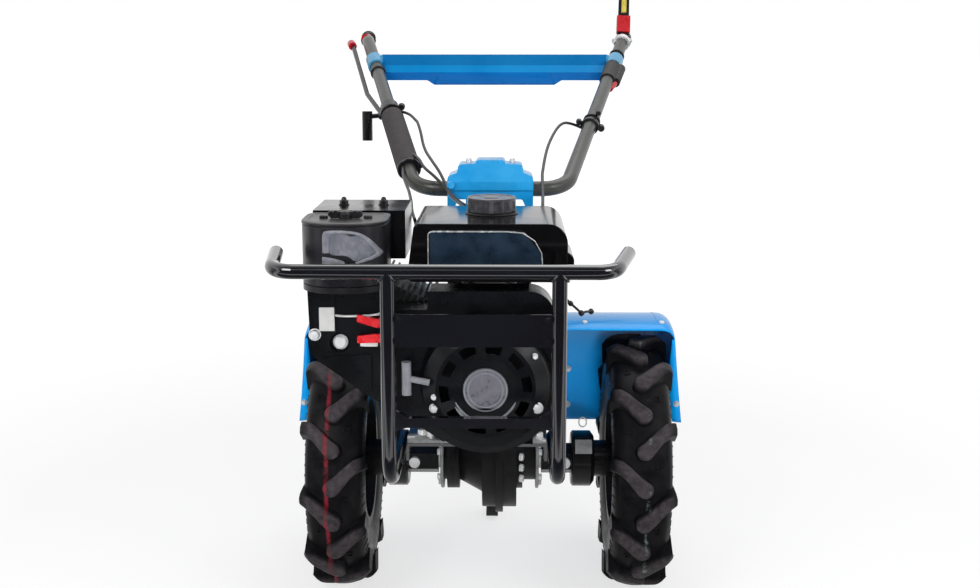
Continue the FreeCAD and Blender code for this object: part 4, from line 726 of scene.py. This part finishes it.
foot_upper = [(0.0325 + 0.03 * i / 8, 0.0415 - 0.006 * (i / 8) ** 2) for i in range(9)]
foot_lower = [(x, z - 0.012) for x, z in foot_upper]
rim_steps = ((0.0, -0.0004), (0.12, 0.0016), (0.5, 0.0024), (0.88, 0.0016), (1.0, 0.0002))
panel_steps = [(k / 5, 0.0004 + 0.0006 * sin(pi * k / 5)) for k in range(6)]
foot_steps = [(k / 4, 0.0002 + 0.0012 * sin(pi * k / 4)) for k in range(5)]
for name, first, second, steps, material in (
        ("air_cleaner_swoosh_rim", frame_outer, frame_inner, rim_steps, pale_smoky_plastic),
        ("air_cleaner_swoosh_panel", frame_inner[1:11], panel_lower, panel_steps, smoky_plastic),
        ("air_cleaner_swoosh_foot", foot_upper, foot_lower, foot_steps, pale_smoky_plastic)):
    swoosh = bmesh.new()
    lofted(swoosh, front_strip(first, second, steps), closed=False)
    piece = built(name, swoosh, material, "chassis")
    if steps is not foot_steps:
        softened = piece.modifiers.new("softened", "SUBSURF")
        softened.levels = 1
        softened.render_levels = 2

# Earth wire: thin black sheathed wire that leaves the engine behind the guard and hooks over the left mudguard's
# edge, held by three moulded ties.
wire_run = [Vector((x, axle.y + y, z)) for x, y, z in (
    (0.098, -0.15, 0.52), (0.112, -0.158, 0.515), (0.124, -0.16, 0.503), (0.133, -0.158, 0.495),
    (0.141, -0.15, 0.486), (0.15, -0.14, 0.487), (0.157, -0.128, 0.484))]
wire("earth_wire", wire_run, 0.0019, black_moulding, "chassis")
wire_ends = bmesh.new()
for spot, size in ((wire_run[2], 0.0042), (wire_run[4], 0.0046), (wire_run[6], 0.0046)):
    turned(wire_ends, [(0, -size), (size * 0.8, -size * 0.7), (size, 0), (size * 0.8, size * 0.7), (0, size)], spot,
           (0.6, 0.2, -0.7), 14)
built("earth_wire_ties", wire_ends, black_moulding, "chassis")

# Silencer and its guard: raw steel browned by heat inside a stamped cage in gloss black enamel. Two dome nuts hold
# the cage from above.
dress(surface("heat_browned_steel", "463f3b", "6f6259", (0.42, 0.6), metallic=0.9, grain=0.002, relief=0.00005),
      "muffler", "exhaust_pipe")
dress(surface("black_gloss_cage_enamel", "08080a", "0e0e11", (0.1, 0.2), patch=0.05, grain=0.003, edge=0.0012),
      "muffler_guard")
cage_low, cage_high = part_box("muffler_guard")
cage_nuts = bmesh.new()
for x in (cage_low.x + 0.037, cage_low.x + 0.095):
    spot = (x, (cage_low.y + cage_high.y) / 2, cage_high.z)
    bolt(cage_nuts, spot, UP, 0.011, 0.006)
    turned(cage_nuts, [(0.0042, 0.007), (0.0036, 0.01), (0.002, 0.0118), (0, 0.0122)], spot, UP, 20)
built("cage_nuts", cage_nuts, black_moulding, "chassis")

# Speed and choke levers: moulded in signal red; the lower one shows the pale underside of its blade. The long
# levers and the wheel hubs are steel under satin black.
dress(surface("red_injection_moulding", "b5121c", "c8202a", (0.22, 0.34), grain=0.0008, relief=0.00002, edge=0.0006),
      "control_knobs", "engine_levers")
dress(surface("black_satin_enamel", "0c0c0e", "141417", (0.2, 0.3), patch=0.05, grain=0.0016, relief=0.00004,
              edge=0.0012), "clutch_lever", "shift_lever", "safety_lever", "hub_left", "hub_right")
lever_low, lever_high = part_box("engine_levers")
blade_y = lever_low.y + 0.003
card("lever_underside", (lever_low.x + 0.004, blade_y, lever_low.z - 0.0048),
     (lever_high.x - 0.006, blade_y, lever_low.z + 0.0006), 0.002, 0.001)

# Rims and shaft: pressed steel rims in dull dark enamel, made darker as painted shade for the wheels' shaded
# inner sides. Plated pins through the hubs' sleeves hold both wheels on the one plated shaft.
rim_enamel_painted_shade = surface("rim_enamel_painted_shade", "1c1d20", "2b2c2f", (0.28, 0.4), patch=0.06, grain=0.003, shine=0.1)
dress(rim_enamel_painted_shade, "rim_left", "rim_right")
dress(bright_zinc_plate, "wheel_shaft", "hub_pin_left", "hub_pin_right", "hitch_pins")

# Drum label and clip ring on the left hub: a blank foil label bent round the drum, and the plated wire ring of the
# pin's clip, which stands on top.
drum_low, drum_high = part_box("hub_left")
drum_r = (drum_high.z - drum_low.z) / 2
label_section = ((0.0545, -0.0004), (0.0545, 0.0008), (0.0815, 0.0008), (0.0815, -0.0004))
plate = bmesh.new()
lofted(plate, [[(drum_low.x + x, axle.y - (drum_r + lift) * cos(a), axle.z + (drum_r + lift) * sin(a))
                for x, lift in label_section] for a in (radians(24 + 22 * i / 8) for i in range(9))], capped=True)
brushed_label = surface(
    "brushed_label", "8d8e90", "a3a3a5", (0.3, 0.4), metallic=0.5, patch=0.01, grain=0.0008, edge=0.0)
built("drum_label", plate, brushed_label, "axle")
ring_centre = Vector((drum_low.x + 0.068, axle.y - 0.012, axle.z + drum_r + 0.0035))
loop = [ring_centre + Vector((0.0068 * sin(turn), 0.0, 0.0085 * cos(turn)))
        for turn in (radians(45 * k) for k in range(8))]
wire("drum_clip_ring", loop, 0.0011, bright_zinc_plate, "axle", closed=True)

# Tyres: dull charcoal rubber with two rows of club-shaped bars, ribs on the shoulders and a painted line round the
# tread, left from sorting in the works. Moulded in one; they stand for the plainer tyres of the solid model.
LUGS = 11
LUG_PHASE = -6.5
SIDES = 120
BAR_RADIUS = 0.2074
ROOT_RADIUS = 0.184
PITCH_RADIUS = 0.2
WORN_AND_LIT_FROM, WORN_AND_LIT_TO = 0.196, 0.2055
CARCASS_RADIUS = 0.19


def tyre_rubber(name, stripe_x, stripe_shade, worn_off):
    """Rubber with bar tops paler from wear and dust and from painted light, and one broken line of paint round the
    tread at that x.
    """
    material = surface(name, "0d0d0f", "18181a", (0.3, 0.46), patch=0.018, relief=0.00008, edge=0.0012, shine=0.1)
    tree = material.node_tree
    base = tree.nodes["Principled BSDF"]
    body_colour = base.inputs["Base Color"].links[0].from_socket
    place = add(tree, "TexCoord").outputs["Object"]
    split = add(tree, "SeparateXYZ", Vector=place).outputs
    spoke = add(tree, "CombineXYZ", X=0.0, Y=reckon(tree, "SUBTRACT", split["Y"], axle.y),
                Z=reckon(tree, "SUBTRACT", split["Z"], axle.z)).outputs[0]
    reach = add(tree, "VectorMath", {"operation": "LENGTH"}, i0=spoke).outputs["Value"]
    scuff = add(tree, "TexNoise", Vector=place, Scale=1 / 0.008, Detail=4.0).outputs[0]
    # The bar tops go paler towards the full radius, in patches: partly wear and dust, partly a painted highlight where
    # the bars face the lamps.
    rubbed_and_lit = reckon(tree, "MULTIPLY", ramp(tree, reach, WORN_AND_LIT_FROM, WORN_AND_LIT_TO), ramp(tree, scuff, 0.3, 0.7, 0.35))
    topped = add(tree, "Mix", {"data_type": "RGBA"}, i0=rubbed_and_lit, i6=body_colour, i7=linear("423d40")).outputs[2]
    flaked = add(tree, "TexNoise", Vector=place, Scale=1 / 0.028, Detail=6.0, Roughness=0.7).outputs[0]
    paint = reckon(tree, "MULTIPLY", band(tree, split["X"], stripe_x, 0.0016, 0.0042),
                   ramp(tree, flaked, worn_off, worn_off + 0.16, 0.0, 0.85))
    striped = add(tree, "Mix", {"data_type": "RGBA"}, i0=paint, i6=topped, i7=linear(stripe_shade))
    tree.links.new(striped.outputs[2], base.inputs["Base Color"])
    return material


def crown_drop(u):
    """How far below the full radius the top of a bar lies, u from the middle of the tread."""
    return 1.2 * u ** 2 + 32.0 * max(0.0, u - 0.031) ** 2


def bar_line(t):
    """The middle of a bar at share t, from its bulb to the shoulder: (u, along the tread, half width)."""
    knots = [(0.000, -0.037, 0.0128), (0.0095, -0.0285, 0.0112), (0.019, -0.018, 0.0098), (0.029, -0.008, 0.0096),
             (0.039, -0.0015, 0.01), (0.051, 0.0015, 0.0103)]
    spot = t * (len(knots) - 1)
    i = min(int(spot), len(knots) - 2)
    f = spot - i
    return tuple(a + (b - a) * f for a, b in zip(knots[i], knots[i + 1]))


def tread_bar(form, wheel_x, side, angle):
    """Adds one bar; side is the way its shoulder lies, angle is from straight up towards the front."""
    steps = 14
    near, far, middle = [], [], []
    for i in range(steps + 1):
        u, s, half = bar_line(i / steps)
        u1, s1, _ = bar_line(min(1, i / steps + 0.03))
        u0, s0, _ = bar_line(max(0, i / steps - 0.03))
        run = hypot(u1 - u0, s1 - s0)
        out_u, out_s = (s1 - s0) / run * half, -(u1 - u0) / run * half
        near.append((u + out_u, s + out_s))
        far.append((u - out_u, s - out_s))
        middle.append((u, s))
    u, s, half = bar_line(0)
    start = atan2(far[0][1] - s, far[0][0] - u)
    bulb = [(u + half * cos(a), s + half * sin(a)) for a in (start + pi * i / 10 for i in range(1, 10))]
    border = near[::-1] + bulb[::-1] + far
    hearts = middle[::-1] + [middle[0]] * len(bulb) + middle
    rows = []
    for inset, rise in ((-0.0028, None), (-0.0004, -0.006), (0.0006, -0.0016), (0.0022, -0.0002), (0.0055, 0.0)):
        row = []
        for (u, s), (mu, ms) in zip(border, hearts):
            gap = hypot(u - mu, s - ms) or 1.0
            s += (ms - s) / gap * inset
            u = min(u + (mu - u) / gap * inset, 0.0508)
            if rise is None:
                r = ROOT_RADIUS - max(abs(u) - 0.03, 0.0) * 1.35
            else:
                r = BAR_RADIUS - crown_drop(abs(u)) + rise
            row.append(about_axle(wheel_x + side * u, r, s / PITCH_RADIUS - angle))
        rows.append(row)
    rows.append([about_axle(wheel_x + side * u, BAR_RADIUS - crown_drop(abs(u)), s / PITCH_RADIUS - angle)
                 for u, s in hearts])
    form.faces.new(lofted(form, rows)[0])


def rib(form, wheel_x, side, angle):
    """Adds a short raised rib on the tyre's wall between two radii."""
    outline = ((0.16, 0.0463, -0.0008), (0.16, 0.0463, 0.0008), (0.172, 0.0441, 0.0008), (0.172, 0.0441, -0.0008))
    rows = [[about_axle(wheel_x + side * (out + proud), r, -(angle + half / r)) for r, out, half in outline]
            for proud in (-0.001, 0.0009)]
    form.faces.new(lofted(form, rows)[-1])


def mark(form, wheel_x, u, angle, size):
    """Adds a small raised square frame on the tread between two bars, made of four strips."""
    thin = 0.0013
    for du, ds, wide, long in ((0, -1, size, thin), (0, 1, size, thin), (-1, 0, thin, size), (1, 0, thin, size)):
        rows = [[about_axle(wheel_x + u + du * size / 2 + cu * wide / 2, r,
                            -(angle + (ds * size / 2 + cs * long / 2) / CARCASS_RADIUS))
                 for cu, cs in ((-1, -1), (1, -1), (1, 1), (-1, 1))]
                for r in (CARCASS_RADIUS - 0.0015, CARCASS_RADIUS + 0.0011)]
        form.faces.new(lofted(form, rows)[-1])


wall = [(0.036, 0.104), (0.0368, 0.1085), (0.0385, 0.112), (0.0392, 0.115), (0.0386, 0.1168), (0.0408, 0.12),
        (0.0438, 0.129), (0.0458, 0.14), (0.0466, 0.15), (0.0462, 0.161), (0.0444, 0.171), (0.0412, 0.1785),
        (0.036, 0.1842), (0.029, 0.1876), (0.019, 0.1897), (0.008, 0.1905)]
around = wall + [(-u, r) for u, r in reversed(wall)]
for name, side, stripe_x, stripe_shade, worn_off in (
        ("tyre_left", 1, 0.2455, "7f908b", 0.56), ("tyre_right", -1, -0.2485, "7c2430", 0.38)):
    low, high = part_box(name)
    wheel_x = (low.x + high.x) / 2
    form = bmesh.new()
    lofted(form, [[about_axle(wheel_x + u, r, 2 * pi * i / SIDES) for u, r in around] for i in range(SIDES)],
           endless=True)
    for row, shoulder in enumerate((side, -side)):
        for i in range(LUGS):
            angle = radians(LUG_PHASE + (i + row / 2) * 360 / LUGS)
            tread_bar(form, wheel_x, shoulder, angle)
            mark(form, wheel_x, shoulder * 0.021, angle + radians(17), 0.0085)
    for shoulder in (-1, 1):
        for i in range(LUGS * 6):
            rib(form, wheel_x, shoulder, 2 * pi * i / (LUGS * 6))
    rubber = tyre_rubber("tread_rubber_" + name[5:], stripe_x, stripe_shade, worn_off)
    piece = built("detailed_" + name, form, rubber, "axle", 40)
    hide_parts(name)

# Handlebar: steel tube in a warm grey satin coat, with a foam sleeve on the right tube and ribbed rubber grips.
# The panel across it is one moulding in blue, with two creases along it and a plain raised field in the middle.
# Its faces take lighter and darker copies of that blue as painted light and painted shade.
dress(surface("grey_satin_powder_coat", "343532", "41423f", (0.24, 0.36), patch=0.1, grain=0.003, edge=0.0006),
      "handlebar")
dress(surface("ribbed_grip_rubber", "161617", "222223", (0.5, 0.65), grain=0.0008, relief=0.00006),
      "grip_left", "grip_right", "throttle_control")
dress(surface("closed_cell_foam", "332f30", "484445", (0.75, 0.9), patch=0.012, relief=0.0003, edge=0.002),
      "foam_sleeve")
blue_moulding, painted_lit_blue, painted_shade_blue = (
    surface(name, shade, worn, (0.16, 0.24), patch=0.12, shine=0.2) for name, shade, worn in
    (("blue_moulded_plastic", "046cac", "0776b4"), ("blue_moulding_painted_light", "0880c2", "0d8acb"),
     ("blue_moulding_painted_shade", "0362ae", "056ab6")))
pale_blue_moulding = surface("pale_blue_moulded_plastic", "3a93c0", "58a6cc", (0.24, 0.34))
dress(blue_moulding, "cross_panel")
panel_mesh = nodes["cross_panel"].data
for tint in (pale_blue_moulding, painted_lit_blue, painted_shade_blue):
    panel_mesh.materials.append(tint)
panel_low_corner, panel_high_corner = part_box("cross_panel")
# The ends take the pale blue moulding. Faces that slope upwards take a lighter copy of the blue as painted light, and
# low front faces take a darker copy as painted shade.
for face in panel_mesh.polygons:
    if abs(face.center.x) > panel_high_corner.x - 0.036:
        face.material_index = 1
    elif face.normal.y < -0.3 and face.normal.z > 0.25:
        face.material_index = 2
    elif face.normal.y < -0.5 and face.center.z < panel_low_corner.z + 0.033:
        face.material_index = 3
middle_spots = [v.co for v in panel_mesh.vertices if abs(v.co.x) < 0.2]
face_y = min(spot.y for spot in middle_spots)
foot_z = min(spot.z for spot in middle_spots)
half_field = ((0.118, foot_z + 0.002), (0.11, foot_z + 0.02), (0.098, foot_z + 0.0225))
field_edge = [(-x, z) for x, z in half_field] + list(half_field[::-1])
# The raised field takes the darker copy of the blue, a painted shade.
field = bmesh.new()
lofted(field, [[(x + copysign(grow, x), face_y - proud, z + (grow if z > foot_z + 0.01 else -grow * 0.3))
                for x, z in field_edge] for grow, proud in ((0.003, -0.0005), (0.0, 0.0012), (-0.003, 0.0022))],
       capped=True)
built("panel_field", field, painted_shade_blue, "handlebar", 20)

# Control cables: black sheathed cable, held in the bars' clips and in the head, with a free loop at each pivot
# long enough for the bars to turn and tilt.
cable_sheath = surface(
    "extruded_cable_sheath", "070708", "0e0e10", (0.26, 0.38), patch=0.03, grain=0.0008, relief=0.00002, edge=0.0)
dress(cable_sheath, "bar_cables", "chassis_cables")


def crossing(name, points):
    """A held cable that runs from the bars to the chassis; the points are x, y from the axle, and z, in order along it.
    """
    route = [Vector((x, axle.y + y, z)) for x, y, z in points]
    piece = wire(name, route, 0.0026, cable_sheath, None)
    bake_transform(piece)


for name, bend, run in (
        ("throttle", [(-0.134, 0.264, 0.747), (-0.126, 0.225, 0.737), (-0.117, 0.175, 0.707), (-0.1, 0.105, 0.694),
                      (-0.08, 0.045, 0.676), (-0.072, 0.022, 0.661)],
         [(-0.064, -0.004, 0.646), (-0.05, -0.04, 0.641), (-0.042, -0.075, 0.64), (-0.036, -0.09, 0.6355)]),
        ("reverse", [(-0.136, 0.15, 0.7), (-0.122, 0.118, 0.697), (-0.112, 0.08, 0.684), (-0.09, 0.046, 0.672),
                     (-0.071, 0.018, 0.656)],
         [(-0.05, -0.03, 0.637), (0.0, -0.075, 0.628), (0.06, -0.098, 0.632), (0.082, -0.092, 0.63)]),
        ("clutch", [(-0.15, 0.14, 0.69), (-0.147, 0.09, 0.671), (-0.139, 0.05, 0.66), (-0.132, 0.02, 0.652)],
         [(-0.126, -0.02, 0.644), (-0.121, -0.07, 0.642), (-0.118, -0.112, 0.637), (-0.112, -0.13, 0.626)]),
        ("left", [(0.16, 0.3, 0.7345), (0.144, 0.3, 0.742), (0.122, 0.262, 0.746), (0.101, 0.18, 0.722),
                  (0.09, 0.11, 0.698), (0.085, 0.05, 0.676)],
         [(0.0845, 0.01, 0.66), (0.084, -0.04, 0.648), (0.083, -0.08, 0.64), (0.082, -0.092, 0.63)])):
    crossing(name + "_cable_bend", bend)
    crossing(name + "_cable_run", bend[-1:] + run)

# Clips and clamps on the bars: moulded black bands and guides that tie the cables to the tube, a bright clamp with
# two screws under the safety lever, and the lever's moulded yellow flag.
bend_x, bend_y, bend_z = 0.124, 0.057, 0.651
tube_spread = 0.142
tube_run = 0.655
tube_slope = tan(radians(19.6))


def tube_spot(side, y):
    """The middle line of a rising tube at y from the axle; it starts at the bend and spreads outwards."""
    share = (y - bend_y) / tube_run
    return Vector((side * (bend_x + tube_spread * share), axle.y + y, bend_z + (y - bend_y) * tube_slope))


def tube_way(side):
    """The direction of a rising tube, towards the grip."""
    return (tube_spot(side, 0.5) - tube_spot(side, 0.2)).normalized()


bands = bmesh.new()
for side, y, wide, radius in (
        (1, 0.3, 0.01, 0.0165), (1, 0.318, 0.006, 0.0158), (-1, 0.352, 0.009, 0.0205), (-1, 0.128, 0.007, 0.0205),
        (-1, 0.545, 0.008, 0.0155), (1, 0.63, 0.008, 0.0155)):
    way = tube_way(side)
    turned(bands, [(0.0118, 0), (radius - 0.0012, 0), (radius, 0.0012), (radius, wide - 0.0012),
                   (radius - 0.0012, wide), (0.0118, wide)], tube_spot(side, y) - way * (wide / 2), way, 32)
for side, y, off, radius, tall in (
        (1, 0.3, (-0.02, 0, 0.006), 0.0055, 0.012), (1, 0.305, (0.019, -0.004, -0.007), 0.0065, 0.013),
        (1, 0.316, (0.012, -0.006, 0.016), 0.005, 0.01), (-1, 0.356, (0.02, -0.004, 0.01), 0.0065, 0.012),
        (-1, 0.35, (-0.019, -0.002, -0.006), 0.005, 0.01), (-1, 0.128, (0.02, -0.006, 0.006), 0.005, 0.011)):
    turned(bands, [(0, 0), (radius * 0.8, 0), (radius, tall * 0.2), (radius, tall * 0.8), (radius * 0.7, tall),
                   (0, tall)], tube_spot(side, y) + Vector(off) - Vector((0, tall / 2, 0)), (0, 1, 0.2), 20)
built("cable_clips", bands, black_moulding, "handlebar")
clamp = bmesh.new()
turned(clamp, [(0.012, 0), (0.016, 0), (0.0168, 0.001), (0.0168, 0.013), (0.016, 0.014), (0.012, 0.014)],
       tube_spot(1, 0.7), tube_way(1), 32)
for x in (-0.0155, 0.0155):
    bolt(clamp, tube_spot(1, 0.704) + Vector((x, -0.004, 0.004)), (0, -1, 0.25), 0.008, 0.006)
built("lever_clamp", clamp, bright_zinc_plate, "handlebar")
blade_way = Vector((0.04, 0.3815, 0.9236))
blade_out = Vector((0, -0.924, 0.382))
blade_foot = Vector((0.269, axle.y + 0.735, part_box("safety_lever")[1].z - 0.0925))
flag = bmesh.new()
lofted(flag, [[blade_foot + blade_way * along + Vector((across, 0, 0)) + blade_out * (0.0022 + proud)
               for across, along in ((-wide, low), (wide, low), (wide, high), (-wide, high))] for wide, low, high, proud
              in ((0.0052, 0.061, 0.093, 0.0), (0.0052, 0.061, 0.093, 0.0045), (0.0042, 0.062, 0.092, 0.0055))],
       capped=True)
yellow_moulding = surface(
    "yellow_injection_moulding", "c9b84a", "dccb66", (0.24, 0.34), grain=0.0008, relief=0.00002, edge=0.0)
built("lever_flag", flag, yellow_moulding, "handlebar")
